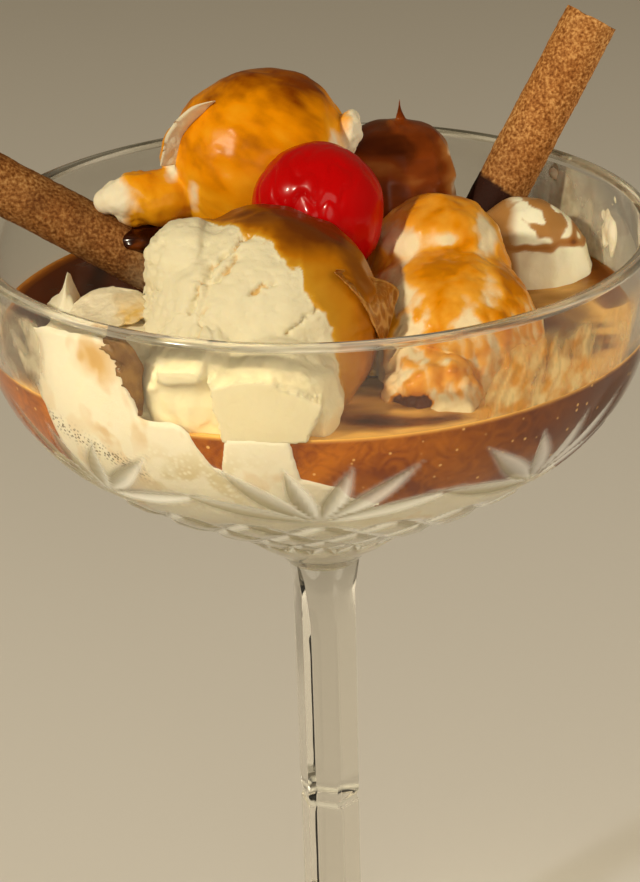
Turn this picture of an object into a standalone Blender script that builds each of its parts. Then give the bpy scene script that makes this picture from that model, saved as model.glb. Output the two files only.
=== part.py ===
"""Affogato in a cut-glass coupe: scoops of vanilla ice cream under coffee and caramel, a cherry and two rolled
wafers. The frame is metres, +Z up, with the origin under the middle of the glass's foot. -Y is the front."""

import math

import bmesh
import bpy
from mathutils import Matrix, Vector, noise

MM = 0.001

# Glass: a coupe with a round bowl, a six-sided stem and a round foot.
RIM_HEIGHT = 153 * MM
RIM_RADIUS = 54 * MM
RIM_WALL = 2.2 * MM
BOTTOM_WALL = 3.6 * MM
BOWL_DEPTH = 63 * MM
BOWL_FULLNESS = 3.62
BOWL_TAPER = 2.1
BOWL_ROWS = 10
INNER_DEPTH = 51.5 * MM
INNER_DEPTHS = [depth * MM for depth in (49.5, 46, 42, 37, 31, 25, 20, 15, 8)]
STEM_SIDES = 6
STEM_TURN = math.radians(-15)
STEM_TOP_RADIUS = 5.4 * MM
STEM_FOOT_RADIUS = 5.1 * MM
STEM_TOP = 84 * MM
STEM_BOTTOM = 20 * MM
COLLAR_RADIUS = 2.6 * MM
COLLAR_DEPTH = 54.5 * MM
COLLAR_SPREAD = 4 * MM
OUTER_DEPTH = 57 * MM
STEM_ROWS = [height * MM for height in (93.5, 90, 85, 20, 15.5)]
FLAT_SIDES_FROM = 93 * MM
FLAT_SIDES_TO = 10 * MM
FLAT_SIDES_FADE = 7 * MM
FOOT_ROWS = [radius * MM for radius in (5.6, 7, 9.5, 14, 22, 34.5)]
FOOT_RADIUS = 36 * MM
FOOT_EDGE = 2.6 * MM
FOOT_RISE = 10 * MM
FOOT_CURVE = 6 * MM
STEPS = 48

# Cut flutes round the lower bowl, each a shallow groove between two ribs.
FLUTES = 16
FLUTE_DEPTH = 0.5 * MM
FLUTE_TOP = 127 * MM
FLUTE_BOTTOM = 97 * MM

# Contents.
GAP = 0.3 * MM
COFFEE_LEVEL = 138 * MM
BASE_WALL_HEIGHT = 119.5 * MM
BASE_TILT = 7.5 * MM
BASE_HIGH_SIDE = math.radians(-120)
BANK_SIDE = math.radians(-124)
BANK_SPREAD = math.radians(17)
BANK_HEIGHT = 13.5 * MM
BASE_SEGMENTS = 27
LOBE_SEGMENTS = 10
MOUND_HEIGHT = 27 * MM
MOUND_RADIUS = 24 * MM

CHERRY_CENTRE = Vector((0.9, -9.0, 158.0)) * MM
CHERRY_RADIUS = 10.2 * MM
CHERRY_DIMPLE = Vector((-0.55, -0.8, 0.2))

WAFER_RADIUS = 5.1 * MM
WAFER_BORE = 3.5 * MM
WAFER_STEP = 0.35 * MM
WAFER_LENGTH = 68 * MM
WAFER_STEPS = 20
WAFER_ROWS = 6

# Each scoop is a centre and its half sizes, in millimetres. A lobe pressed out of it is a place measured from the
# centre and its half sizes. A hollow melted into it is a direction, a share of the radius and a spread in radians.
# The order is the order of pressing in: a later scoop gives way to the ones before it.
SCOOPS = {
    "scoop_top": {
        "centre": (-7.8, 14.0, 157.8),
        "half": (15.4, 14.5, 15.4),
        "lobes": [
            ((-18.2, -6.0, -3.1), (8.0, 5.0, 4.2)),
            ((14.8, -1.5, 5.0), (2.4, 4.0, 3.8)),
            ((-13.2, -1.0, 2.0), (3.2, 4.5, 5.5)),
        ],
        "hollows": [((0.7, 0.0, 0.7), 0.05, 0.3)],
        "segments": 22,
    },
    "scoop_front": {
        "centre": (-7.8, -25.5, 143.8),
        "half": (18.2, 18.5, 18.6),
        "lobes": [
            ((-9.8, 0.0, 10.2), (7.2, 8.0, 7.6)),
            ((1.3, -17.5, -3.0), (10.5, 10.5, 9.5)),
            ((1.3, -16.5, -9.8), (6.5, 8.5, 7.5)),
            ((-9.2, -14.5, 0.2), (7.0, 9.5, 8.5)),
        ],
        "hollows": [((0.8, -0.1, -0.6), 0.26, 0.55), ((-0.7, -0.5, -0.5), 0.1, 0.4)],
        "segments": 24,
    },
    "scoop_right": {
        "centre": (19.8, -17.5, 137.6),
        "half": (14.2, 18.5, 15.5),
        "lobes": [
            ((-0.3, 11.0, 9.0), (11.0, 12.0, 11.4)),
            ((-2.8, -17.5, -1.0), (8.0, 7.0, 6.5)),
        ],
        "hollows": [],
        "segments": 18,
    },
    "scoop_back": {
        "centre": (12.5, 26.0, 146.0),
        "half": (11.6, 12.0, 15.0),
        "lobes": [
            ((3.5, 0.0, 6.0), (8.0, 9.0, 8.8)),
            ((2.6, 2.0, 15.4), (0.9, 0.9, 3.0)),
        ],
        "hollows": [],
        "segments": 16,
    },
    "scoop_far_right": {
        "centre": (35.2, 18.0, 134.5),
        "half": (11.0, 11.0, 14.7),
        "lobes": [],
        "hollows": [],
        "segments": 16,
    },
    "scoop_left": {
        "centre": (-27.4, -30.5, 134.0),
        "half": (12.8, 12.8, 16.0),
        "lobes": [
            ((-3.4, 2.0, 15.2), (8.6, 6.5, 2.8)),
            ((-10.6, 8.5, 16.2), (2.4, 4.5, 3.6)),
        ],
        "hollows": [],
        "segments": 18,
    },
}

# A wafer's lower end and the way it points from there.
WAFERS = {
    "wafer_right": {"foot": (14.3, 20.3, 117.6), "towards": (0.481, 0.187, 0.858)},
    "wafer_left": {"foot": (-17.2, 8.1, 137.5), "towards": (-0.852, -0.015, 0.523)},
}

# Colour and roughness of each finish.
FINISHES = {
    "glass": ((0.86, 0.86, 0.82, 1.0), 0.03),
    "ice_cream": ((0.84, 0.72, 0.45, 1.0), 0.55),
    "caramel_scoop": ((0.80, 0.34, 0.02, 1.0), 0.3),
    "coffee_scoop": ((0.09, 0.02, 0.005, 1.0), 0.2),
    "coffee": ((0.34, 0.10, 0.01, 1.0), 0.15),
    "cherry": ((0.42, 0.0, 0.0, 1.0), 0.12),
    "wafer": ((0.30, 0.12, 0.035, 1.0), 0.8),
}


def clear_scene():
    for old in list(bpy.data.objects):
        bpy.data.objects.remove(old)


def new_collection(name):
    made = bpy.data.collections.new(name)
    bpy.context.scene.collection.children.link(made)
    return made


def new_object(name, mesh, collection):
    made = bpy.data.objects.new(name, mesh)
    collection.objects.link(made)
    return made


def mesh_from(bm, name):
    bmesh.ops.triangulate(bm, faces=bm.faces)
    mesh = bpy.data.meshes.new(name)
    bm.to_mesh(mesh)
    bm.free()
    return mesh


def dress(obj, finish):
    """Gives the piece a material of its own, and smooth shading between its sharp edges."""
    colour, roughness = FINISHES[finish]
    made = bpy.data.materials.new(obj.name)
    made.use_nodes = True
    shader = made.node_tree.nodes["Principled BSDF"]
    shader.inputs["Base Color"].default_value = colour
    shader.inputs["Roughness"].default_value = roughness
    shader.inputs["Metallic"].default_value = 0.0
    obj.data.materials.clear()
    obj.data.materials.append(made)
    obj.data.shade_smooth()
    obj.data.set_sharp_from_angle(angle=math.radians(35))


def apply_modifiers(obj):
    """The object's mesh becomes what its modifiers make of it."""
    bpy.context.view_layer.update()
    graph = bpy.context.evaluated_depsgraph_get()
    made = bpy.data.meshes.new_from_object(obj.evaluated_get(graph))
    obj.modifiers.clear()
    old = obj.data
    obj.data = made
    bpy.data.meshes.remove(old)


def turned(name, profile, collection, steps=STEPS):
    """A solid turned about Z from (radius, height) points that run up its inside or axis and down its outside."""
    bm = bmesh.new()
    row = [bm.verts.new((radius, 0.0, height)) for radius, height in profile]
    for upper, lower in zip(row, row[1:]):
        bm.edges.new((upper, lower))
    obj = new_object(name, mesh_from(bm, name), collection)
    screw = obj.modifiers.new("turn", "SCREW")
    screw.steps = screw.render_steps = steps
    screw.use_merge_vertices = True
    screw.merge_threshold = 0.02 * MM
    screw.use_smooth_shade = True
    apply_modifiers(obj)
    return obj


def keep_largest_piece(obj):
    """A cut can leave loose scraps beside the piece. They are dropped."""
    bm = bmesh.new()
    bm.from_mesh(obj.data)
    left = set(bm.verts)
    pieces = []
    while left:
        edge_of_piece = [left.pop()]
        piece = set(edge_of_piece)
        while edge_of_piece:
            for edge in edge_of_piece.pop().link_edges:
                for vert in edge.verts:
                    if vert in left:
                        left.discard(vert)
                        piece.add(vert)
                        edge_of_piece.append(vert)
        pieces.append(piece)
    pieces.sort(key=len, reverse=True)
    scraps = [vert for piece in pieces[1:] for vert in piece]
    bmesh.ops.delete(bm, geom=scraps, context="VERTS")
    bm.to_mesh(obj.data)
    bm.free()


def boolean(obj, operation, others):
    for other in others:
        cut = obj.modifiers.new(operation.lower(), "BOOLEAN")
        cut.operation = operation
        cut.solver = "EXACT"
        cut.object = other
    apply_modifiers(obj)
    keep_largest_piece(obj)


# --- glass ---------------------------------------------------------------------------------------------------


def bowl_radius(depth):
    """The bowl's outside, at a depth below the rim: upright at first, then rounding in to a shallow cone."""
    share = min(max(depth / BOWL_DEPTH, 0.0), 1.0)
    return RIM_RADIUS * (1 - share**BOWL_FULLNESS) ** BOWL_TAPER


def wall_thickness(depth):
    return RIM_WALL + (BOTTOM_WALL - RIM_WALL) * min(depth / INNER_DEPTH, 1.0) ** 2


def inner_radius(depth, clearance=0.0):
    """The bowl's inside: the outside moved in, square to the wall, by the wall's thickness there."""
    step = 0.1 * MM
    slope = (bowl_radius(depth + step) - bowl_radius(depth - step)) / (2 * step)
    inset = (wall_thickness(depth) + clearance) * math.sqrt(1 + slope * slope)
    return max(bowl_radius(depth) - inset, 0.0)


def stem_radius(height):
    share = min(max((height - STEM_BOTTOM) / (STEM_TOP - STEM_BOTTOM), 0.0), 1.0)
    return STEM_FOOT_RADIUS + (STEM_TOP_RADIUS - STEM_FOOT_RADIUS) * share


def outer_radius(height):
    """The outside of the whole glass above its foot: bowl, collar and stem run into each other."""
    depth = RIM_HEIGHT - height
    joined = (bowl_radius(depth) ** 3 + stem_radius(height) ** 3) ** (1 / 3)
    collar = COLLAR_RADIUS * math.exp(-(((depth - COLLAR_DEPTH) / COLLAR_SPREAD) ** 2))
    return max(joined, bowl_radius(depth)) + collar


def foot_height(radius):
    """The foot's top: nearly flat at its edge, rising into the stem."""
    rise = FOOT_RISE * math.exp(-(radius - STEM_FOOT_RADIUS) / FOOT_CURVE)
    slope = 1.6 * MM * (1 - radius / FOOT_RADIUS)
    return FOOT_EDGE + rise + slope


def glass_profile():
    inner = [(0.0, RIM_HEIGHT - INNER_DEPTH)]
    for depth in INNER_DEPTHS:
        inner.append((inner_radius(depth), RIM_HEIGHT - depth))
    lip = RIM_WALL / 2
    middle = RIM_RADIUS - lip
    rim = [
        (middle - lip * math.cos(angle), RIM_HEIGHT - lip + lip * math.sin(angle))
        for angle in (math.radians(36 * k) for k in range(6))
    ]
    outer = []
    for row in range(1, BOWL_ROWS + 1):
        depth = OUTER_DEPTH * math.sin(math.pi / 2 * row / BOWL_ROWS)
        outer.append((outer_radius(RIM_HEIGHT - depth), RIM_HEIGHT - depth))
    stem = [(outer_radius(height), height) for height in STEM_ROWS]
    foot = [(radius, foot_height(radius)) for radius in FOOT_ROWS]
    edge = [(FOOT_RADIUS, FOOT_EDGE * 0.6), (FOOT_RADIUS, 0.5 * MM), (FOOT_RADIUS - 0.5 * MM, 0.0), (0.0, 0.0)]
    return inner + rim + outer + stem + foot + edge


def six_sided(angle):
    """How far a six-sided section reaches, as a share of its corners."""
    side = 2 * math.pi / STEM_SIDES
    within = (angle - STEM_TURN) % side - side / 2
    return math.cos(side / 2) / math.cos(within)


def shape_stem_and_cuts(mesh):
    """Gives the turned glass its flat stem sides, and its flutes round the lower bowl."""
    for vert in mesh.vertices:
        x, y, height = vert.co
        radius = math.hypot(x, y)
        if radius < 1 * MM:
            continue
        angle = math.atan2(y, x)
        scale = 1.0
        if FLAT_SIDES_TO < height < FLAT_SIDES_FROM:
            inside = min(FLAT_SIDES_FROM - height, height - FLAT_SIDES_TO)
            scale -= (1 - six_sided(angle)) * min(inside / FLAT_SIDES_FADE, 1.0)
        on_outside = radius > inner_radius(RIM_HEIGHT - height) + 1 * MM
        if on_outside and FLUTE_BOTTOM < height < FLUTE_TOP:
            band = math.sin(math.pi * (height - FLUTE_BOTTOM) / (FLUTE_TOP - FLUTE_BOTTOM))
            groove = 0.4 + 0.6 * math.cos(FLUTES * (angle - math.pi / 2))
            scale -= FLUTE_DEPTH * groove * band / radius
        vert.co.x *= scale
        vert.co.y *= scale


def make_glass(parts):
    glass = turned("coupe_glass", glass_profile(), parts)
    shape_stem_and_cuts(glass.data)
    dress(glass, "glass")


# --- ice cream, coffee, cherry and wafers ------------------------------------------------------------------------


def bowl_space(name, top, collection):
    """The room inside the bowl, GAP clear of its wall, up to a flat top."""
    profile = [(0.0, top)]
    if top > RIM_HEIGHT:
        profile.append((inner_radius(0.0, GAP), top))
    for depth in reversed(INNER_DEPTHS):
        if RIM_HEIGHT - depth <= top:
            profile.append((inner_radius(depth, GAP), RIM_HEIGHT - depth))
    profile.append((0.0, RIM_HEIGHT - INNER_DEPTH + 2 * GAP))
    return turned(name, profile, collection)


def lumpy_ball(name, centre, half, hollows, segments, seed, collection, grow=0.0):
    """A hand-scooped ball: uneven, with coarse crags and the hollows that have melted into it."""
    bm = bmesh.new()
    bmesh.ops.create_uvsphere(bm, u_segments=segments, v_segments=segments * 3 // 5, radius=1.0)
    shift = Vector((seed * 3.1, seed * 1.7, seed * 2.3))
    for vert in bm.verts:
        way = vert.co.normalized()
        reach = 1 + 0.05 * noise.noise(way * 1.6 + shift) + 0.03 * noise.noise(way * 4.0 + shift)
        for towards, share, spread in hollows:
            reach -= share * math.exp(-((way.angle(Vector(towards)) / spread) ** 2))
        point = Vector((way.x * half[0], way.y * half[1], way.z * half[2])) * MM * reach
        vert.co = point + point.normalized() * grow
    bmesh.ops.translate(bm, verts=bm.verts, vec=centre)
    return new_object(name, mesh_from(bm, name), collection)


def make_scoop(name, seed, collection, grow=0.0):
    spec = SCOOPS[name]
    centre = Vector(spec["centre"]) * MM
    ball = lumpy_ball(name, centre, spec["half"], spec["hollows"], spec["segments"], seed, collection, grow)
    lobes = []
    for number, (offset, half) in enumerate(spec["lobes"]):
        place = centre + Vector(offset) * MM
        title = f"{name}_lobe_{number}"
        lobes.append(lumpy_ball(title, place, half, [], LOBE_SEGMENTS, seed + number + 1, collection, grow))
    if lobes:
        boolean(ball, "UNION", lobes)
        for lobe in lobes:
            bpy.data.objects.remove(lobe)
    return ball


def make_cherry(name, collection, grow=0.0):
    """A stoned cocktail cherry: round, with the dimple that its stalk left and a few soft folds."""
    bm = bmesh.new()
    bmesh.ops.create_uvsphere(bm, u_segments=20, v_segments=12, radius=1.0)
    dimple = CHERRY_DIMPLE.normalized()
    for vert in bm.verts:
        way = vert.co.normalized()
        dent = 0.10 * math.exp(-((way.angle(dimple) / 0.35) ** 2))
        folds = 0.03 * noise.noise(way * 2.5 + Vector((9.0, 4.0, 2.0)))
        vert.co = way * (CHERRY_RADIUS * (1 - dent + folds) + grow)
    bmesh.ops.translate(bm, verts=bm.verts, vec=CHERRY_CENTRE)
    return new_object(name, mesh_from(bm, name), collection)


def place_wafer(obj, spec):
    obj.location = Vector(spec["foot"]) * MM
    obj.rotation_euler = Vector(spec["towards"]).to_track_quat("Z", "Y").to_euler()


def make_wafer(name, collection):
    """A rolled wafer: a tube whose outer edge ends in a step that winds slowly along it."""
    profile = [(WAFER_BORE, 0.0), (WAFER_BORE, WAFER_LENGTH)]
    for row in range(WAFER_ROWS + 1):
        profile.append((WAFER_RADIUS, WAFER_LENGTH * (1 - row / WAFER_ROWS)))
    profile.append((WAFER_BORE, 0.0))
    wafer = turned(name, profile, collection, WAFER_STEPS)
    weld = wafer.modifiers.new("weld", "WELD")
    weld.merge_threshold = 0.02 * MM
    apply_modifiers(wafer)
    for vert in wafer.data.vertices:
        radius = math.hypot(vert.co.x, vert.co.y)
        if radius < (WAFER_BORE + WAFER_RADIUS) / 2:
            continue
        wind = math.atan2(vert.co.y, vert.co.x) + vert.co.z / WAFER_LENGTH * 1.2
        step = WAFER_STEP * ((wind / (2 * math.pi)) % 1.0)
        uneven = 0.12 * MM * noise.noise(vert.co / (6 * MM))
        scale = (radius - step + uneven) / radius
        vert.co.x *= scale
        vert.co.y *= scale
    place_wafer(wafer, WAFERS[name])
    return wafer


def wafer_cutter(name, collection):
    """A plain rod round a wafer, so that nothing lies in its bore."""
    reach = WAFER_LENGTH + 2 * GAP
    bm = bmesh.new()
    bmesh.ops.create_cone(
        bm,
        cap_ends=True,
        segments=WAFER_STEPS,
        radius1=WAFER_RADIUS + 2 * GAP,
        radius2=WAFER_RADIUS + 2 * GAP,
        depth=reach,
        matrix=Matrix.Translation((0.0, 0.0, WAFER_LENGTH / 2)),
    )
    rod = new_object(name + "_cutter", mesh_from(bm, name), collection)
    place_wafer(rod, WAFERS[name])
    return rod


def base_height(x, y):
    """The top of the ice cream packed into the bowl: a mound, with a bank against the glass at the front left."""
    radius = math.hypot(x, y)
    angle = math.atan2(y, x)
    outward = min(radius / RIM_RADIUS, 1.0)
    mound = MOUND_HEIGHT * math.exp(-((radius / MOUND_RADIUS) ** 2))
    tilt = BASE_TILT * math.cos(angle - BASE_HIGH_SIDE) * outward
    bank = BANK_HEIGHT * math.exp(-(((angle - BANK_SIDE) / BANK_SPREAD) ** 4)) * outward
    uneven = 1.2 * MM * noise.noise(Vector((x, y, 0.0)) / (9 * MM))
    return BASE_WALL_HEIGHT + mound + tilt + bank + uneven


def make_base(name, collection, grow=0.0):
    """A block under the mound's surface, wider than the bowl. The bowl's room then cuts it to shape."""
    bm = bmesh.new()
    bmesh.ops.create_circle(bm, cap_ends=True, cap_tris=True, segments=BASE_SEGMENTS, radius=2 * MM)
    ring = [edge for edge in bm.edges if edge.is_boundary]
    for radius in (10, 18, 27, 38, 56):
        made = bmesh.ops.extrude_edge_only(bm, edges=ring)["geom"]
        verts = [part for part in made if isinstance(part, bmesh.types.BMVert)]
        ring = [part for part in made if isinstance(part, bmesh.types.BMEdge) and part.is_boundary]
        for vert in verts:
            vert.co = Vector((vert.co.x, vert.co.y, 0.0)).normalized() * radius * MM
    for vert in bm.verts:
        vert.co.z = base_height(vert.co.x, vert.co.y) + grow
    made = bmesh.ops.extrude_edge_only(bm, edges=[edge for edge in bm.edges if edge.is_boundary])["geom"]
    for part in made:
        if isinstance(part, bmesh.types.BMVert):
            part.co.z = RIM_HEIGHT - BOWL_DEPTH
    bmesh.ops.holes_fill(bm, edges=[edge for edge in bm.edges if edge.is_boundary])
    bmesh.ops.recalc_face_normals(bm, faces=bm.faces)
    return new_object(name, mesh_from(bm, name), collection)


def make_contents(parts, cutters):
    room = bowl_space("bowl_room", RIM_HEIGHT + 40 * MM, cutters)
    cherry = make_cherry("cherry", parts)
    dress(cherry, "cherry")
    pressed_in = [make_cherry("cherry_cutter", cutters, GAP)]
    for name in WAFERS:
        dress(make_wafer(name, parts), "wafer")
        pressed_in.append(wafer_cutter(name, cutters))
    finishes = {"scoop_top": "caramel_scoop", "scoop_right": "caramel_scoop", "scoop_back": "coffee_scoop"}
    for seed, name in enumerate(SCOOPS):
        scoop = make_scoop(name, seed, parts)
        boolean(scoop, "INTERSECT", [room])
        boolean(scoop, "DIFFERENCE", pressed_in)
        dress(scoop, finishes.get(name, "ice_cream"))
        grown = make_scoop(name, seed, cutters, GAP)
        grown.name = name + "_cutter"
        pressed_in.append(grown)
    base = make_base("ice_cream_base", parts)
    boolean(base, "INTERSECT", [room])
    boolean(base, "DIFFERENCE", pressed_in)
    dress(base, "ice_cream")
    pool = bowl_space("coffee", COFFEE_LEVEL, parts)
    boolean(pool, "DIFFERENCE", [make_base("base_cutter", cutters, GAP)] + pressed_in)
    dress(pool, "coffee")


def hide_cutters(cutters):
    for cutter in cutters.objects:
        cutter.hide_render = True
        cutter.display_type = "WIRE"


def main():
    clear_scene()
    parts = new_collection("affogato")
    cutters = new_collection("cutters")
    make_glass(parts)
    make_contents(parts, cutters)
    hide_cutters(cutters)


main()
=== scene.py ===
"""Looks of the affogato: ice cream under coffee and caramel in a cut-glass coupe, with a cherry and two wafers.
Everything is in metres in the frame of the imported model: +Z up, -Y towards the viewer."""

import math

import bmesh
import bpy
import numpy as np
from mathutils import Matrix, Vector, noise


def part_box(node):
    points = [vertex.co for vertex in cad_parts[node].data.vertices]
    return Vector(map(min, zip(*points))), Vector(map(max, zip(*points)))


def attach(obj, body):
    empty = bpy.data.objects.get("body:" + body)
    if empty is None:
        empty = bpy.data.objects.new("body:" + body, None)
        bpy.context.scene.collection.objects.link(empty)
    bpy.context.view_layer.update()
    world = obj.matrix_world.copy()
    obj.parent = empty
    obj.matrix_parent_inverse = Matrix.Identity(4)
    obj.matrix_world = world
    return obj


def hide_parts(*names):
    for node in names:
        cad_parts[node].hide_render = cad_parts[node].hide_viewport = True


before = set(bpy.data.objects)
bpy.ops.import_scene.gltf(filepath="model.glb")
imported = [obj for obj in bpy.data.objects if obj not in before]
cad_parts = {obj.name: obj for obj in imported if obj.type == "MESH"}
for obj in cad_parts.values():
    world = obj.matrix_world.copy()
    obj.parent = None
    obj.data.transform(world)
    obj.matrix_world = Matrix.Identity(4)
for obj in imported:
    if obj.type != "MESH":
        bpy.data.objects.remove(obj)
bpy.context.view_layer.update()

# --- Camera: a long lens a little above the rim, rolled slightly, so that the glass leans to the left. ---------
MM = 0.001
RIM_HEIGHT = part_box("coupe_glass")[1].z
CAMERA_PLACE = (0.0, -378.5 * MM, RIM_HEIGHT + 129.4 * MM)
CAMERA_PITCH = math.radians(23.89)
CAMERA_ROLL = math.radians(1.627)

camera_data = bpy.data.cameras.new("camera")
camera_data.lens = 103.0
camera_data.sensor_width = 36.0
camera_data.clip_start = 10 * MM
camera = bpy.data.objects.new("camera", camera_data)
bpy.context.scene.collection.objects.link(camera)
tilt = Matrix.Rotation(math.radians(90) - CAMERA_PITCH, 4, "X")
camera.matrix_world = Matrix.Translation(CAMERA_PLACE) @ tilt @ Matrix.Rotation(-CAMERA_ROLL, 4, "Z")
bpy.context.scene.camera = camera
bpy.context.scene.view_settings.view_transform = "Standard"


# --- Studio: a pale matt board in a warm, dim room. A small warm lamp stands at the left in front, fairly low. A
# broad weak one lights the right side, and a soft one fills in from the front. -------------------------------
def linear(code):
    """A colour written as hex sRGB, as the linear values that shaders use."""
    parts = [int(code[k : k + 2], 16) / 255 for k in (1, 3, 5)]
    return tuple(v / 12.92 if v <= 0.04045 else ((v + 0.055) / 1.055) ** 2.4 for v in parts) + (1.0,)


def wire(tree, node, **sources):
    """Joins nodes to a node's sockets: Some_Name is the socket "Some Name", and i2 is socket number 2. A source is an
    output, or a node for its first output."""
    for key, source in sources.items():
        socket = int(key[1:]) if key[0] == "i" and key[1:].isdigit() else key.replace("_", " ")
        output = source if isinstance(source, bpy.types.NodeSocket) else source.outputs[0]
        tree.links.new(output, node.inputs[socket])


def add(tree, kind, settings=None, **sources):
    """A new node. Settings are its properties, or its sockets' values by name or number, colours as hex sRGB."""
    node = tree.nodes.new("ShaderNode" + kind)
    for key, value in (settings or {}).items():
        if isinstance(key, str) and hasattr(node, key):
            setattr(node, key, value)
        else:
            node.inputs[key].default_value = linear(value) if isinstance(value, str) else value
    wire(tree, node, **sources)
    return node


def new_material(name, **fixed):
    """A material with one Principled shader, whose named sockets get fixed values."""
    made = bpy.data.materials.new(name)
    made.use_nodes = True
    tree = made.node_tree
    tree.nodes.clear()
    shader = add(tree, "BsdfPrincipled", {key.replace("_", " "): value for key, value in fixed.items()})
    add(tree, "OutputMaterial", Surface=shader)
    return made, tree, shader


def add_object(name, mesh):
    made = bpy.data.objects.new(name, mesh)
    bpy.context.scene.collection.objects.link(made)
    return made


def add_lamp(name, place, size, energy, colour, mirrored=True):
    """A round lamp that faces the food. One that is not mirrored gives light but no highlight."""
    data = bpy.data.lights.new(name, "AREA")
    data.shape = "DISK"
    data.size = size
    data.energy = energy
    data.color = linear(colour)[:3]
    made = add_object(name, data)
    made.visible_glossy = mirrored
    made.location = place
    aim = Vector((0, 0, RIM_HEIGHT)) - Vector(place)
    made.rotation_euler = aim.to_track_quat("-Z", "Y").to_euler()


def make_floor():
    bm = bmesh.new()
    bmesh.ops.create_grid(bm, x_segments=1, y_segments=1, size=3.0)
    bmesh.ops.translate(bm, verts=bm.verts, vec=(0, 0, -0.3 * MM))
    mesh = bpy.data.meshes.new("floor")
    bm.to_mesh(mesh)
    bm.free()
    floor = add_object("floor", mesh)
    # Painted studio board: matt, with the faintest mottle.
    paint, tree, shader = new_material("painted_board", Roughness=0.8)
    mottle = add(tree, "TexNoise", {"Scale": 1 / (110 * MM)})
    tones = {"data_type": "RGBA", 6: "#E2DDD6", 7: "#E8E4DE"}
    tone = add(tree, "Mix", tones, Factor=mottle)
    wire(tree, shader, Base_Color=tone.outputs[2])
    mesh.materials.append(paint)


make_floor()
add_lamp("key", (-0.72, -0.645, 0.76), 0.08, 9.4, "#FFF4DA")
add_lamp("side", (0.80, -0.22, 0.42), 0.9, 3.4, "#FFF3E0", mirrored=False)
add_lamp("fill", (0.15, -1.15, 0.5), 0.6, 2.5, "#FFF9E8")
room = bpy.data.worlds.new("room")
room.use_nodes = True
room.node_tree.nodes["Background"].inputs["Color"].default_value = linear("#C8B48E")
room.node_tree.nodes["Background"].inputs["Strength"].default_value = 0.24
bpy.context.scene.world = room

# --- Coupe glass: blown and cut crystal. Eight fans of leaf-shaped cuts stand round the lower bowl, over a band of
# fine crossed cuts. The rim is fire-polished, the stem has six flat sides, and the foot is a plain disc. --------
RIM_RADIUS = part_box("coupe_glass")[1].x
RIM_WALL = 2.2 * MM
RIM_BEAD = 0.25 * MM
BOTTOM_WALL = 3.6 * MM
BOWL_DEPTH = 63 * MM
BOWL_FULLNESS = 3.62
BOWL_TAPER = 2.1
INNER_DEPTH = 51.5 * MM
OUTER_DEPTH = 57 * MM
STEM_SIDES = 6
STEM_TURN = math.radians(-15)
STEM_TOP_RADIUS = 5.4 * MM
STEM_FOOT_RADIUS = 5.1 * MM
STEM_TOP = RIM_HEIGHT - 69 * MM
STEM_BOTTOM = 20 * MM
COLLAR_RADIUS = 2.6 * MM
COLLAR_DEPTH = 54.5 * MM
COLLAR_SPREAD = 4 * MM
FLAT_SIDES_FROM = RIM_HEIGHT - 60 * MM
FLAT_SIDES_TO = 10 * MM
FLAT_SIDES_FADE = 7 * MM
FOOT_RADIUS = 36 * MM
FOOT_EDGE = 2.6 * MM
FOOT_RISE = 10 * MM
FOOT_CURVE = 6 * MM
FOOT_SLOPE = 1.6 * MM
AROUND = 440
INNER_ROWS = 30
RIM_ROWS = 11
BOWL_ROWS = 138
STEM_ROWS = 14
FANS = 8
FAN_TURN = math.radians(-90.5)
FAN_ROOT_DEPTH = 31.3 * MM
LEAVES = ((20, 16), (-20, 16), (48, 22), (-48, 22), (73, 25), (-73, 25))
LEAF_WIDTH = 2.3 * MM
LEAF_CUT = 1.2 * MM
BAND_TOP_DEPTH = 32.4 * MM
BAND_BOTTOM_DEPTH = 52 * MM
BAND_CUTS = 24
BAND_SLANT = 5.0
BAND_CUT = 1.0 * MM
RING_HEIGHT = RIM_HEIGHT - 105.3 * MM
RING_CUT = 0.4 * MM
POLISHED_BAND = 1.9 * MM


def bowl_radius(depth):
    """The bowl's outside, at a depth below the rim."""
    share = np.clip(depth / BOWL_DEPTH, 0.0, 1.0)
    return RIM_RADIUS * (1 - share**BOWL_FULLNESS) ** BOWL_TAPER


def inner_radius(depth):
    """The bowl's inside: the outside moved in, square to the wall, by the wall's thickness there."""
    step = 0.1 * MM
    slope = (bowl_radius(depth + step) - bowl_radius(depth - step)) / (2 * step)
    wall = RIM_WALL + (BOTTOM_WALL - RIM_WALL) * np.clip(depth / INNER_DEPTH, 0, 1) ** 2
    return np.maximum(bowl_radius(depth) - wall * np.sqrt(1 + slope * slope), 0.0)


def outer_radius(height):
    """The outside of bowl, collar and stem, which run into each other."""
    depth = RIM_HEIGHT - height
    share = np.clip((height - STEM_BOTTOM) / (STEM_TOP - STEM_BOTTOM), 0.0, 1.0)
    stem = STEM_FOOT_RADIUS + (STEM_TOP_RADIUS - STEM_FOOT_RADIUS) * share
    joined = (bowl_radius(depth) ** 3 + stem**3) ** (1 / 3)
    return np.minimum(joined, RIM_RADIUS) + COLLAR_RADIUS * np.exp(-(((depth - COLLAR_DEPTH) / COLLAR_SPREAD) ** 2))


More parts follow.
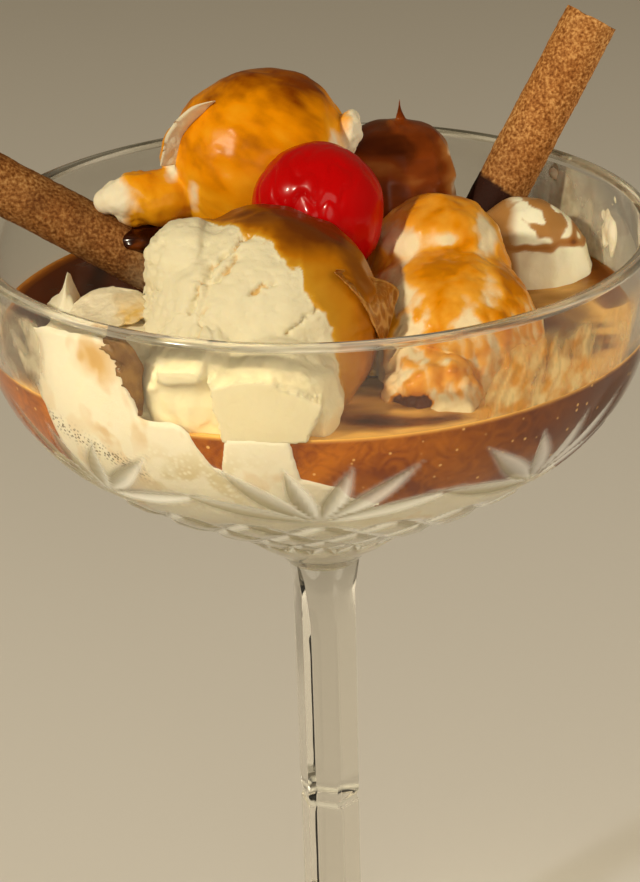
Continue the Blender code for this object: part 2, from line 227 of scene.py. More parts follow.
def glass_profile():
    """Radius and height of each row: up the inside, over the rim, down the outside and the stem, and the foot."""
    lip = RIM_WALL / 2
    depth = lip + (INNER_DEPTH - lip) * np.sin(np.linspace(math.pi / 2, 0, INNER_ROWS))
    bead = RIM_BEAD * np.exp(-((depth / (2.4 * MM)) ** 2))
    inside = np.stack([np.maximum(inner_radius(depth) - bead, 0.3 * MM), RIM_HEIGHT - depth], 1)
    turn = np.radians(np.linspace(15, 165, RIM_ROWS))
    wide = (RIM_WALL + RIM_BEAD) / 2
    rim = np.stack([RIM_RADIUS - wide - wide * np.cos(turn), RIM_HEIGHT - lip + lip * np.sin(turn)], 1)
    height = RIM_HEIGHT - lip - (OUTER_DEPTH - lip) * np.linspace(0, 1, BOWL_ROWS) ** 0.62
    bowl = np.stack([outer_radius(height), height], 1)
    ring = RING_HEIGHT + np.linspace(1.5, -1.5, 13) * MM
    height = np.linspace(RIM_HEIGHT - OUTER_DEPTH - 2 * MM, STEM_BOTTOM, STEM_ROWS)
    height = np.sort(np.concatenate([height[np.abs(height - RING_HEIGHT) > 2 * MM], ring]))[::-1]
    stem = np.stack([outer_radius(height), height], 1)
    radius = np.array([5.4, 5.8, 6.4, 7.2, 8.2, 9.5, 11, 13, 16, 20, 25, 30, 34]) * MM
    rise = FOOT_RISE * np.exp(-(radius - STEM_FOOT_RADIUS) / FOOT_CURVE)
    foot = np.stack([radius, FOOT_EDGE + rise + FOOT_SLOPE * (1 - radius / FOOT_RADIUS)], 1)
    edge = [(-0.6, 2.7), (0.0, 1.9), (0.0, 0.6), (-0.5, 0.0)]
    edge = [(FOOT_RADIUS + out * MM, up * MM) for out, up in edge] + [(0.3 * MM, 0.0)]
    return np.concatenate([inside, rim, bowl, stem, foot, edge])


def cut_depth(angle, height, radius):
    """How deep the cutter's wheel has gone into the bowl's outside, and which flank of the groove it is there: -1 on
    its left, 1 on its right. Places are measured along the curved wall."""
    table = np.linspace(RIM_HEIGHT - OUTER_DEPTH, RIM_HEIGHT, 600)
    steps = np.hypot(np.diff(table), np.diff(outer_radius(table)))
    length = np.concatenate([[0], np.cumsum(steps)])
    up = np.interp(height, table, length) - np.interp(RIM_HEIGHT - FAN_ROOT_DEPTH, table, length)
    sector = 2 * math.pi / FANS
    turn = (angle - FAN_TURN + sector / 2) % sector - sector / 2
    cut, flank = np.zeros_like(turn), np.zeros_like(turn)
    for neighbour in (-1, 0, 1):
        across = (turn - neighbour * sector) * radius
        for lean, reach in LEAVES:
            along = across * math.sin(math.radians(lean)) + up * math.cos(math.radians(lean))
            off = across * math.cos(math.radians(lean)) - up * math.sin(math.radians(lean))
            share = np.clip(along / (reach * MM), 0, 1)
            half = LEAF_WIDTH * np.sin(math.pi * share**0.8) + 1e-9
            leaf = LEAF_CUT * half / LEAF_WIDTH * np.clip(1 - np.abs(off) / half, 0, 1)
            flank = np.where(leaf > cut, np.clip(off / (0.4 * half), -1, 1), flank)
            cut = np.maximum(cut, leaf)
    depth = RIM_HEIGHT - height
    band = np.clip(np.minimum(depth - BAND_TOP_DEPTH, BAND_BOTTOM_DEPTH - depth) / (1.5 * MM), 0, 1)
    slant = BAND_SLANT * (depth - BAND_TOP_DEPTH) / (BAND_BOTTOM_DEPTH - BAND_TOP_DEPTH)
    for way in (1, -1):
        part = (angle * BAND_CUTS / (2 * math.pi) + way * slant / 2) % 1 - 0.5
        groove = BAND_CUT * band * np.clip((np.abs(part) * 2 - 0.4) / 0.6, 0, 1)
        flank = np.where(groove > cut, -np.clip(part / 0.15, -1, 1), flank)
        cut = np.maximum(cut, groove)
    return cut, flank


def ring_faces(rings, count):
    """The faces between rings of points that follow each other."""
    first = (np.arange(rings - 1)[:, None] * count + np.arange(count)).ravel()
    after = (np.arange(rings - 1)[:, None] * count + (np.arange(count) + 1) % count).ravel()
    return np.stack([first, after, after + count, first + count], 1).tolist()


def closed_piece(name, points, faces):
    """A closed piece from points and faces, with all faces turned outwards."""
    mesh = bpy.data.meshes.new(name)
    mesh.from_pydata(points.reshape(-1, 3).tolist(), [], faces)
    bm = bmesh.new()
    bm.from_mesh(mesh)
    bmesh.ops.recalc_face_normals(bm, faces=bm.faces)
    bm.to_mesh(mesh)
    bm.free()
    mesh.shade_smooth()
    return add_object(name, mesh)


def turned_piece(name, radius, height):
    """A closed piece from rings of points: radius and height are arrays of rings by points round each ring."""
    rings, count = radius.shape
    angle = np.linspace(0, 2 * math.pi, count, endpoint=False)
    ends = [list(range(count))[::-1], list(range((rings - 1) * count, rings * count))]
    points = np.stack([radius * np.cos(angle), radius * np.sin(angle), height], 2)
    return closed_piece(name, points, ring_faces(rings, count) + ends)


def finish_piece(piece, material, slot, *nodes):
    """Dresses a piece, lets it ride with the glass, and hides the CAD nodes that it stands for."""
    piece.data.materials.append(material)
    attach(piece, "root")
    if nodes:
        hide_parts(*nodes)


def keep_values(piece, **values):
    """Keeps named values on a piece's points for its material."""
    for name, numbers in values.items():
        layer = piece.data.attributes.new(name, "FLOAT", "POINT")
        layer.data.foreach_set("value", numbers.ravel().astype(np.float32))


def make_glass():
    rows = glass_profile()
    angle = np.linspace(0, 2 * math.pi, AROUND, endpoint=False)
    radius = np.repeat(rows[:, :1], AROUND, 1)
    height = np.repeat(rows[:, 1:], AROUND, 1)
    outside = np.arange(len(rows)) >= INNER_ROWS + RIM_ROWS
    cut, flank = cut_depth(np.repeat(angle[None, :], len(rows), 0), height, radius)
    cut *= outside[:, None]
    radius = radius - cut - RING_CUT * outside[:, None] * np.exp(-(((height - RING_HEIGHT) / (0.8 * MM)) ** 2))
    side = 2 * math.pi / STEM_SIDES
    flat = math.cos(side / 2) / np.cos((angle - STEM_TURN) % side - side / 2)
    inside_ends = np.minimum(FLAT_SIDES_FROM - height, height - FLAT_SIDES_TO)
    radius *= 1 - (1 - flat) * np.clip(inside_ends / FLAT_SIDES_FADE, 0, 1) * outside[:, None]
    coupe = turned_piece("cut_coupe", radius, height)
    coupe.data.set_sharp_from_angle(angle=math.radians(24))
    ring = 0.6 * outside[:, None] * np.exp(-(((height - RING_HEIGHT) / (0.5 * MM)) ** 4))
    keep_values(coupe, cut=cut / LEAF_CUT + ring, flank=flank)
    # Crystal: clear, very slightly grey, with faint waves left by the polishing. The cuts are left a little milky,
    # and
    # their flanks get painted light and shade: one side of each groove pale, the other greyer. Lamps shine through
    # it.
    crystal, tree, shader = new_material("crystal", IOR=1.5, Specular_IOR_Level=0.2)
    here = add(tree, "TexCoord").outputs["Object"]
    ground = add(tree, "Attribute", {"attribute_name": "cut"}).outputs["Fac"]
    milk = add(tree, "MapRange", {"From Max": 0.5, "To Min": 1.0, "To Max": 0.4}, Value=ground)
    side_at = add(tree, "Attribute", {"attribute_name": "flank"}).outputs["Fac"]
    lit = add(tree, "MapRange", {"From Min": -1.0}, Value=side_at)
    # Painted light and shade on the cut flanks: pale on one side of each groove, greyer on the other.
    flank_shade_and_light = {"data_type": "RGBA", 6: "#AAA288", 7: "#FFFFFA"}
    painted_flank_light = add(tree, "Mix", flank_shade_and_light, Factor=lit)
    inside = add(tree, "MapRange", {"From Max": 0.35}, Value=ground)
    body = add(tree, "Mix", {"data_type": "RGBA", 6: "#F0EEE8"}, Factor=inside, i7=painted_flank_light.outputs[2])
    dull = add(tree, "MapRange", {"From Max": 0.8, "To Min": 0.015, "To Max": 0.09}, Value=ground)
    waves = add(tree, "TexNoise", {"Scale": 1 / (16 * MM), "Detail": 1.0}, Vector=here)
    bump = add(tree, "Bump", {"Strength": 0.1, "Distance": 0.4 * MM}, Height=waves)
    wire(tree, shader, Base_Color=body.outputs[2], Transmission_Weight=milk, Roughness=dull, Normal=bump)
    clear = add(tree, "BsdfTransparent", {"Color": "#F2F0EA"})
    path = add(tree, "LightPath")
    both = add(tree, "MixShader", Fac=path.outputs["Is Shadow Ray"], i1=shader, i2=clear)
    wire(tree, tree.nodes["Material Output"], Surface=both)
    finish_piece(coupe, crystal, "glass", "coupe_glass")
    # Fire-polished rim: softened in a flame, so it is rounder than the wall below it. Its grey, less clear look and
    # its bright and dark lines round it are painted reflections. They are really finer, and are drawn 1.1 mm to show.
    rim, tree, shader = new_material("fire_polished_rim", Roughness=0.1, IOR=1.5, Transmission_Weight=0.68)
    here = add(tree, "TexCoord").outputs["Object"]
    apart = add(tree, "SeparateXYZ", Vector=here)
    level = add(tree, "VectorMath", {"operation": "MULTIPLY", 1: (1.0, 1.0, 0.0)}, i0=here)
    away = add(tree, "VectorMath", {"operation": "LENGTH"}, i0=level)
    around = add(tree, "Math", {"operation": "MULTIPLY", 1: 0.07}, i0=apart.outputs["X"])
    lines = add(tree, "CombineXYZ", X=away.outputs["Value"], Y=around, Z=apart.outputs["Z"])
    streaks = add(tree, "TexNoise", {"Scale": 1 / (1.1 * MM), "Detail": 3.0}, Vector=lines)
    # Painted reflections: streaks of dark grey to near white run round the rim.
    painted_rim_lines = add(tree, "ValToRGB", Fac=streaks)
    stops = painted_rim_lines.color_ramp.elements
    stops[0].position, stops[0].color = 0.32, linear("#8E8876")
    stops[1].position, stops[1].color = 0.62, linear("#FFFCF0")
    stops.new(0.46).color = linear("#CCC6B4")
    bump = add(tree, "Bump", {"Strength": 0.3, "Distance": 0.3 * MM}, Height=streaks)
    wire(tree, shader, Base_Color=painted_rim_lines, Normal=bump)
    coupe.data.materials.append(rim)
    for face in coupe.data.polygons:
        if face.center.z > RIM_HEIGHT - POLISHED_BAND:
            face.material_index = 1


make_glass()

# --- Ice cream: scooped vanilla, soft where it melts and crumbly where the scoop tore it. Amber caramel and dark
# coffee lie over it in runs of uneven thickness. Places are millimetres from the middle of the rim. ------------
SEAT = 0.45 * MM
WALL_HEIGHTS = np.linspace(RIM_HEIGHT - INNER_DEPTH, RIM_HEIGHT, 400)
WALL_RADII = inner_radius(RIM_HEIGHT - WALL_HEIGHTS)


def spot(x, y, up):
    return np.array((x * MM, y * MM, RIM_HEIGHT + up * MM))


def wall_at(height):
    """The radius of the bowl's inside at a height."""
    return np.interp(height, WALL_HEIGHTS, WALL_RADII)


def above_rim(points):
    """How many millimetres points lie above the rim."""
    return (points[:, 2] - RIM_HEIGHT) / MM


def bearing(points):
    """Where points lie round the glass, in degrees: 0 is at its right and -90 in front."""
    return np.degrees(np.arctan2(points[:, 1], points[:, 0]))


def lumps(points, size, seed, octaves=1, stretch=(1, 1, 1)):
    """Smooth noise at each point, about -1 to 1, with lumps of that size."""
    shift = Vector((7.3, 3.9, 5.1)) * seed
    scaled = points / (size * np.array(stretch))
    return np.array([noise.fractal(Vector(p) + shift, 1.0, 2.1, octaves) for p in scaled])


def ramp(values, low, high):
    """0 below low, 1 above high, and a soft step between."""
    share = np.clip((values - low) / (high - low), 0, 1)
    return share * share * (3 - 2 * share)


def near(points, place, size):
    """1 at a place, falling to 0 about a size away from it."""
    away = (points - spot(*place)) / (np.array(size) * MM)
    return np.exp(-(away**2).sum(1))


def patches(points, *each):
    """Several soft patches together, each a weight, a place and a size."""
    return sum(weight * near(points, place, size) for weight, place, size in each)


def from_centre(points, centre, half):
    """Where points lie in a scoop: 0 at its centre and about 1 on its surface."""
    return (points - spot(*centre)) / (np.array(half) * MM)


def soft_copy(name, node, voxel, rounds):
    """The CAD solid's shape with its edges melted: remeshed finely and smoothed."""
    piece = add_object(name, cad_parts[node].data.copy())
    fine = piece.modifiers.new("fine", "REMESH")
    fine.mode = "VOXEL"
    fine.voxel_size = voxel * MM
    melt = piece.modifiers.new("melt", "SMOOTH")
    melt.factor = 0.5
    melt.iterations = rounds
    graph = bpy.context.evaluated_depsgraph_get()
    mesh = bpy.data.meshes.new_from_object(piece.evaluated_get(graph))
    piece.modifiers.clear()
    piece.data = mesh
    mesh.materials.clear()
    return piece


def read_points(piece):
    """The piece's points and their normals."""
    count = len(piece.data.vertices)
    points, normals = np.empty(count * 3), np.empty(count * 3)
    piece.data.vertices.foreach_get("co", points)
    piece.data.vertex_normals.foreach_get("vector", normals)
    return points.reshape(-1, 3), normals.reshape(-1, 3)


def move_points(piece, points, **values):
    """Moves the piece's points, and keeps named values on them for its material."""
    piece.data.vertices.foreach_set("co", points.ravel())
    piece.data.update()
    piece.data.shade_smooth()
    keep_values(piece, **values)


def seat_in_wall(points, reach=1.6):
    """Points close to the bowl's inside move just into the glass, so that no air shows between. The cream swells
    softly to where it touches."""
    radius = np.hypot(points[:, 0], points[:, 1])
    wall = wall_at(points[:, 2])
    gap = wall - radius
    free = ramp(gap, SEAT, reach * MM)
    touching = (gap < reach * MM) & (points[:, 2] < RIM_HEIGHT - 2.5 * MM)
    seated = wall - gap * free + SEAT * (1 - free)
    points[:, :2] *= np.where(touching, seated / np.maximum(radius, 1e-6), 1.0)[:, None]
    bottom = RIM_HEIGHT - INNER_DEPTH
    low = points[:, 2] < bottom + reach * MM
    points[low, 2] = bottom - SEAT
    return points


def ice_cream_material(name, thin, thick, darkest, cream="#F3EAD0", shade="#E4D4AA", stain=0.3, shine=0.25):
    """Vanilla ice cream with sauce over it. The sauce value, from 0 to 1, is how thick the sauce lies: it goes from
    bare cream, matt and icy, through a thin stain to a thick, glossy layer. Its ice crystals are really 0.1 mm and
    less, and are drawn 0.9 mm to show."""
    depths = {"Subsurface_Weight": 0.2, "Subsurface_Scale": 1.0 * MM, "Subsurface_Radius": (1.0, 0.7, 0.35)}
    made, tree, shader = new_material(name, IOR=1.4, Specular_IOR_Level=shine, **depths)
    here = add(tree, "TexCoord").outputs["Object"]
    sauce = add(tree, "Attribute", {"attribute_name": "sauce"}).outputs["Fac"]
    blotch = add(tree, "TexNoise", {"Scale": 1 / (7 * MM), "Detail": 3.0}, Vector=here)
    grain = add(tree, "TexNoise", {"Scale": 1 / (0.9 * MM), "Detail": 4.0}, Vector=here)
    uneven = add(tree, "Math", {"operation": "MULTIPLY_ADD", 1: 0.3, 2: -0.15}, i0=blotch)
    covered = add(tree, "Math", {"operation": "GREATER_THAN", 1: 0.02}, i0=sauce)
    wobble = add(tree, "Math", {"operation": "MULTIPLY"}, i0=uneven, i1=covered)
    depth = add(tree, "Math", {"operation": "ADD"}, i0=sauce, i1=wobble)
    colours = add(tree, "ValToRGB", Fac=depth)
    stops = colours.color_ramp.elements
    stops[0].position, stops[0].color = 0.05, linear(cream)
    stops[1].position, stops[1].color = 1.0, linear(darkest)
    for place, colour in ((stain, thin), (0.66, thick)):
        stops.new(place).color = linear(colour)
    mottled = add(tree, "Mix", {"data_type": "RGBA", 6: shade, 7: cream}, Factor=blotch)
    edges = {"From Min": 0.04, "From Max": 0.2, "To Min": 0.5, "To Max": 0.0}
    bare = add(tree, "MapRange", edges, Value=depth)
    colour = add(tree, "Mix", {"data_type": "RGBA"}, Factor=bare, i6=colours, i7=mottled.outputs[2])
    gloss = {"From Min": 0.05, "From Max": 0.35, "To Min": 0.6, "To Max": 0.28}
    wet = add(tree, "MapRange", gloss, Value=depth)
    calm = {"From Min": 0.05, "From Max": 0.3, "To Min": 1.0, "To Max": 0.05}
    icy = add(tree, "MapRange", calm, Value=depth)
    high = add(tree, "Math", {"operation": "MULTIPLY"}, i0=grain, i1=icy)
    bump = add(tree, "Bump", {"Strength": 0.5, "Distance": 0.25 * MM}, Height=high)
    wire(tree, shader, Base_Color=colour.outputs[2], Roughness=wet, Normal=bump)
    return made


def sheet_mesh(name, outer, inner):
    """A thin closed sheet between two grids of points."""
    rows, columns = outer.shape[:2]
    corner = (np.arange(rows - 1)[:, None] * columns + np.arange(columns - 1)).ravel()
    front = np.stack([corner, corner + 1, corner + columns + 1, corner + columns], 1)
    faces = front.tolist() + (front[:, ::-1] + rows * columns).tolist()
    border = list(range(columns)) + [columns * (k + 1) - 1 for k in range(1, rows)]
    border += list(range(rows * columns - 2, columns * (rows - 1) - 1, -1))
    border += [columns * k for k in range(rows - 2, 0, -1)]
    for here, after in zip(border, border[1:] + border[:1]):
        faces.append([after, here, here + rows * columns, after + rows * columns])
    mesh = bpy.data.meshes.new(name)
    mesh.from_pydata(np.concatenate([outer.reshape(-1, 3), inner.reshape(-1, 3)]).tolist(), [], faces)
    mesh.shade_smooth()
    return add_object(name, mesh)


FILM_COLUMNS = 2.4  # to a degree
FILM_ROWS = 2.8  # to a millimetre
FILM_ROUNDS = 6


def wall_film(name, bearings, heights, depth_at, into_wall=0.4, taper=0.02):
    """Melt on the inside of the glass, between two bearings in degrees and two heights in millimetres from the
    rim. depth_at gives its thickness in millimetres at each point. The glass is bare where that is negative, and
    elsewhere the melt reaches a little way into the wall, less where it is thinner than the taper."""
    columns = int((bearings[1] - bearings[0]) * FILM_COLUMNS) + 1
    rows = int((heights[1] - heights[0]) * FILM_ROWS) + 1
    angle = np.radians(np.linspace(*bearings, columns))[None, :]
    height = RIM_HEIGHT + np.linspace(*heights, rows)[:, None] * MM
    wall = wall_at(height)
    points = np.stack([wall * np.cos(angle), wall * np.sin(angle), height + 0 * angle], 2)
    depth = depth_at(points.reshape(-1, 3)).reshape(rows, columns)
    sheets = []
    for inward in (np.clip(depth, 0.0, None) * MM, -into_wall * MM * ramp(depth, -taper, taper)):
        share = 1 - inward / wall
        sheets.append(np.stack([points[:, :, 0] * share, points[:, :, 1] * share, points[:, :, 2]], 2))
    film = sheet_mesh(name, *sheets)
    bare = np.tile(depth.ravel() < 0, 2)
    bm = bmesh.new()
    bm.from_mesh(film.data)
    bm.verts.ensure_lookup_table()
    empty = [face for face in bm.faces if all(bare[corner.index] for corner in face.verts)]
    bmesh.ops.delete(bm, geom=empty, context="FACES")
    edges = [edge for edge in bm.edges if edge.is_boundary]
    for _ in range(FILM_ROUNDS):
        sums = {}
        for edge in edges:
            here, there = edge.verts
            sums.setdefault(here, []).append(there.co.copy())
            sums.setdefault(there, []).append(here.co.copy())
        for corner, beside in sums.items():
            corner.co = corner.co.lerp(sum(beside, Vector()) / len(beside), 0.5)
    bm.to_mesh(film.data)
    bm.free()
    return film


def film_material(name, thin, thick, clear=False):
    """Melted ice cream drying on glass: matt, thin and brownish at its edges, pale where it lies thick. A clear film
    is so thin that the cover value, from 0 to 1, sets how much it hides."""
    depths = {"Subsurface_Weight": 0.15, "Subsurface_Scale": 1.0 * MM}
    made, tree, shader = new_material(name, Roughness=0.4, IOR=1.4, Specular_IOR_Level=0.25, **depths)
    here = add(tree, "TexCoord").outputs["Object"]
    patch = add(tree, "TexNoise", {"Scale": 1 / (3 * MM), "Detail": 3.0}, Vector=here)
    spread = add(tree, "MapRange", {"From Min": 0.35, "From Max": 0.6}, Value=patch)
    colour = add(tree, "Mix", {"data_type": "RGBA", 6: thin, 7: thick}, Factor=spread)
    wire(tree, shader, Base_Color=colour.outputs[2])
    if clear:
        wire(tree, shader, Alpha=add(tree, "Attribute", {"attribute_name": "cover"}).outputs["Fac"])
    return made


def along_curve(places, count):
    """Points spaced evenly in parameter along a smooth line through some places."""
    knots = np.array([spot(*place) for place in places])
    share = np.linspace(0, len(knots) - 1, count)
    first = np.clip(share.astype(int), 0, len(knots) - 2)
    t = (share - first)[:, None]
    before, after = knots[np.maximum(first - 1, 0)], knots[np.minimum(first + 2, len(knots) - 1)]
    a, b = knots[first], knots[first + 1]
    pull = 2 * a + (b - before) * t + (2 * before - 5 * a + 4 * b - after) * t**2
    return 0.5 * (pull + (3 * a - before - 3 * b + after) * t**3)


def crack_along(points, centre, places, wobble):
    """Distance in millimetres from each point to a jagged line through some places, as seen from straight outside."""
    shifted = points + wobble * MM * np.stack([lumps(points, 1.3 * MM, seed, 2) for seed in (201, 202, 203)], 1)
    shifted -= spot(*centre)
    nearest = np.full(len(points), 1e3)
    for here, after in zip(places, places[1:]):
        a, b = spot(*here) - spot(*centre), spot(*after) - spot(*centre)
        out = (a + b) / np.linalg.norm(a + b)
        flat, start = shifted - (shifted @ out)[:, None] * out, a - (a @ out) * out
        step = (b - a) - ((b - a) @ out) * out
        share = np.clip(((flat - start) @ step) / (step @ step), 0, 1)
        gap = np.linalg.norm(flat - start - share[:, None] * step, axis=1) / MM
        nearest = np.minimum(nearest, np.where(shifted @ out > 0.5 * (a @ out), gap, 1e3))
    return nearest


def press_to_glass(points):
    """The front scoop's foot is squeezed against the bowl: a flat face where it touches, and a swelling beside it."""
    at, up = bearing(points), above_rim(points)
    radius = np.hypot(points[:, 0], points[:, 1])
    gap = (wall_at(points[:, 2]) - radius) / MM
    pull = ramp(at, -122, -118.5) * (1 - ramp(at, -91, -87)) * ramp(up, -22, -18) * (1 - ramp(up, -10.5, -3.5))
    pull *= 1 - ramp(gap, 9, 13)
    ragged = 0.5 * lumps(points, 3 * MM, 15, 3)
    left = np.interp(up, (-18, -15, -9, -6), (-104.0, -105.5, -106.6, -107.4))
    right = np.interp(up, (-18, -15, -10, -7), (-94.0, -91.6, -89.6, -91.0))
    top = np.interp(at, (-108, -100, -94, -90), (-6.6, -5.8, -7.6, -9.6))
    edge = np.minimum(np.minimum((at - left), (right - at)) * 0.85, np.minimum(top - up, up + 15.6)) + ragged
    face = ramp(edge, -0.5, 0.1)
    swelling = 2.0 - 1.2 * near(points, (-22, -44.5, -10), (4.5, 8, 5)) + 0.5 * lumps(points, 5 * MM, 16, 2)
    target = swelling * (1 - face) - 0.5 * face
    points[:, :2] *= (1 + (gap - target) * MM * pull / np.maximum(radius, 1e-6))[:, None]
    return points


def make_front_scoop():
    """The largest scoop, at the front: torn and crumbly at its left, cracked across, with caramel on its right."""
    piece = soft_copy("front_scoop", "scoop_front", 0.36, 8)
    points, normals = read_points(piece)
    middle = (-7.8, -25.5, -9.2)
    out = from_centre(points, middle, (18.4, 18.7, 18.8))
    torn = ramp(-out[:, 0], 0.62, 0.86) * ramp(out[:, 2], -0.4, 0.1)
    crags = np.abs(lumps(points, 2.6 * MM, 1, 4))
    soft = lumps(points, 7 * MM, 2, 2)
    ledges = np.abs(lumps(points, 5 * MM, 4, 3, (2.2, 1, 0.6)))
    pits = ramp(lumps(points, 1.1 * MM, 9), 0.28, 0.45)
    scrape = lumps(points, 1.4 * MM, 13, 2, (4, 1, 0.6))
    # The low lobe at its left is worked back into the slope above the rim.
    away = points - spot(*middle)
    swollen = np.maximum(np.linalg.norm(away / (18.6 * MM), axis=1), 1.0)
    blend = near(points, (-19.5, -41.5, -2.5), (7.5, 6, 5.5)) * ramp(above_rim(points), -7, -4)
    points = spot(*middle) + away * (swollen**-blend)[:, None]
    main = [(-18.2, -38.6, -0.6), (-16.9, -37.1, 2.5), (-15.9, -35.5, 4.7), (-12.5, -33.7, 7.3), (-9.7, -30.8, 8.9)]
    side = [(-15.9, -35.5, 4.7), (-15.6, -37.9, 2.8), (-16.2, -39.0, 0.9), (-16.5, -41.0, -3.5)]
    fork = [(-16.0, -36.6, 3.6), (-14.7, -37.1, 4.0), (-13.1, -36.3, 5.5), (-11.2, -34.2, 7.4)]
    short = [(-9.4, -39.9, 3.0), (-7.6, -39.2, 3.9), (-5.8, -38.6, 4.3)]
    low = [(-4.2, -42.8, -2.6), (-2.3, -41.7, -1.1), (-0.4, -40.2, 0.1), (0.3, -39.5, 0.6)]
    cracks = np.zeros(len(points))
    cuts = ((main, 1.1, 0.42), (side, 0.6, 0.5), (fork, 1.0, 0.4), (short, 0.8, 0.32), (low, 0.8, 0.34))
    for places, deep, width in cuts:
        cracks = np.maximum(cracks, deep * np.exp(-((crack_along(points, middle, places, 0.8) / width) ** 2)))
    slab = ramp(-out[:, 0] + 0.08 * soft, 0.42, 0.5) * ramp(out[:, 2], -0.1, 0.2)
    # The caramel covers what lies behind and to the right of a ragged line over the scoop.
    line_x = (-26, -16.8, -11.5, -9.6, -6.4, -4.3, -2.1, -1.8, -0.1, 1.3, 2.6, 4.0, 10.0)
    line_y = (-21, -23.7, -28.6, -32.6, -32.7, -36.1, -36.4, -38.3, -39.2, -40.0, -40.8, -43.5, -50.0)
    past_line = points[:, 1] / MM - np.interp(points[:, 0] / MM, line_x, line_y)
    in_sauce = 0.7 * past_line + 0.8 * lumps(points, 1.8 * MM, 11, 3) + 0.5 * lumps(points, 6 * MM, 12)
    layer = ramp(in_sauce, 0.0, 0.7)
    crown = ramp(out[:, 2], 0.7, 0.88)
    sauce = 0.4 + 0.12 * ramp(in_sauce, 0.5, 4) + 0.34 * ramp(in_sauce, 4, 10) + 0.42 * crown * ramp(in_sauce, 0, 2)
    bare = 1 - layer
    stained = 0.2 * ramp(cracks, 0.25, 0.7) * ramp(lumps(points, 3 * MM, 17), -0.3, 0.1)
    sauce = layer * sauce + bare * (stained + 0.05 * ramp(lumps(points, 4 * MM, 14, 3), 0.0, 0.3))
    relief = 0.1 * lumps(points, 2.2 * MM, 3, 3) + 0.22 * ledges - 0.14 * pits + 0.08 * scrape
    height = 0.3 + 0.35 * soft + 0.3 * layer + bare * (relief + 1.1 * crags * torn - 0.95 * cracks + 0.55 * slab)
    points += normals * (height * MM)[:, None]
    move_points(piece, seat_in_wall(press_to_glass(points), 1.0), sauce=sauce)
    tones = ("#D09A2A", "#B87008", "#6A3206", "#ECE3C4", "#DAC99C")
    caramel = ice_cream_material("front_scoop_cream", *tones)
    finish_piece(piece, caramel, "vanilla_ice_cream", "scoop_front")


def make_top_scoop():
    """The highest scoop, nearly covered in bright amber caramel, with bare cream ridges where the scoop let go."""
    piece = soft_copy("top_scoop", "scoop_top", 0.4, 32)
    points, normals = read_points(piece)
    out = from_centre(points, (-7.8, 14.0, 4.8), (15.4, 14.5, 15.4))
    runs = lumps(points @ np.array(Matrix.Rotation(0.5, 3, "Y")), 4.5 * MM, 21, 4, (2.6, 1, 0.8))
    swirl = lumps(points, 9 * MM, 22, 2)
    crown = ramp(out[:, 2] + 0.12 * swirl, 0.72, 0.95)
    fine = lumps(points @ np.array(Matrix.Rotation(0.7, 3, "Y")), 1.8 * MM, 27, 3, (3.2, 1, 0.7))
    sauce = 0.48 + 0.17 * runs + 0.09 * fine + 0.1 * swirl + 0.18 * ramp(out[:, 2], -0.1, 0.6) + 0.26 * crown
    sauce += 0.12 * ramp(-points[:, 0], 18 * MM, 22 * MM) + 0.1 * near(points, (-15, 3, 11), (7, 8, 6))
    bare = patches(
        points,
        (1.0, (9.0, 12.5, 9.6), (3.4, 6, 5.0)),
        (0.6, (-22.4, 11, 6.5), (1.4, 6, 4.0)),
        (1.2, (-33.4, 6, 2.2), (4.2, 6, 4)),
        (0.6, (3.5, 4, 9), (1.8, 4, 5)),
        (0.3, (-18.8, 4, 3.4), (1.2, 5, 3.6)),
    )
    sauce = np.clip(sauce - 1.1 * bare, 0.04, 1)
    rough = near(points, (9.0, 12.5, 9.0), (5, 9, 8)) + near(points, (-30, 7, 2), (9, 9, 6))
    height = 0.25 + 0.35 * lumps(points, 6 * MM, 23, 2) + 0.2 * runs + 0.25 * ramp(sauce, 0.1, 0.5)
    height += rough * (0.9 * lumps(points, 3.2 * MM, 24, 3) - 0.3)
    height += 1.5 * near(points, (-34, 7, 2.6), (4, 6, 5))
    points += normals * (height * MM)[:, None]
    points += near(points, (9.0, 12.5, 10.0), (4.5, 7, 6.5))[:, None] * np.array((-1.4, 0.0, 0.9)) * MM
    move_points(piece, points, sauce=sauce)
    caramel = ice_cream_material("top_scoop_caramel", "#F2A81E", "#E68E00", "#7A3600", stain=0.36, shine=0.14)
    finish_piece(piece, caramel, "caramel_ice_cream", "scoop_top")


def make_flap():
    """A thin flap of cream that stands off the top scoop's left side, where the scoop's rim cut it."""
    rows, columns = 70, 14
    root = along_curve([(-14.8, 8.6, 17.4), (-17.4, 8.0, 15.9), (-20.2, 7.8, 12.4), (-21.4, 7.4, 7.6)], rows)
    lip = along_curve([(-15.6, 7.0, 17.7), (-19.0, 6.0, 17.0), (-22.9, 6.0, 13.0), (-24.2, 6.2, 7.6)], rows)
    share = np.linspace(0, 1, columns)[None, :, None]
    grid = root[:, None, :] * (1 - share) + lip[:, None, :] * share
    flat = grid.reshape(-1, 3)
    wavy = lumps(flat, 3.4 * MM, 25, 2)[:, None] * np.array((0.4, -0.4, 0.3)) * MM
    outer = (flat + wavy).reshape(grid.shape)
    thick = 1.1 * np.sin(math.pi * np.linspace(0.08, 0.92, rows))[:, None, None] * (1.0 - 0.35 * share)
    back = np.array((0.75, 0.45, -0.5))
    flap = sheet_mesh("cream_flap", outer, outer + (thick + 0.1) * back * MM)
    points, _ = read_points(flap)
    move_points(flap, points, sauce=0.05 + 0.12 * lumps(points, 3 * MM, 26, 2))
    cream = ice_cream_material("flap_cream", "#E8BC68", "#D08A20", "#7A3400", cream="#EADDBE", stain=0.5)
    finish_piece(flap, cream, "caramel_ice_cream")


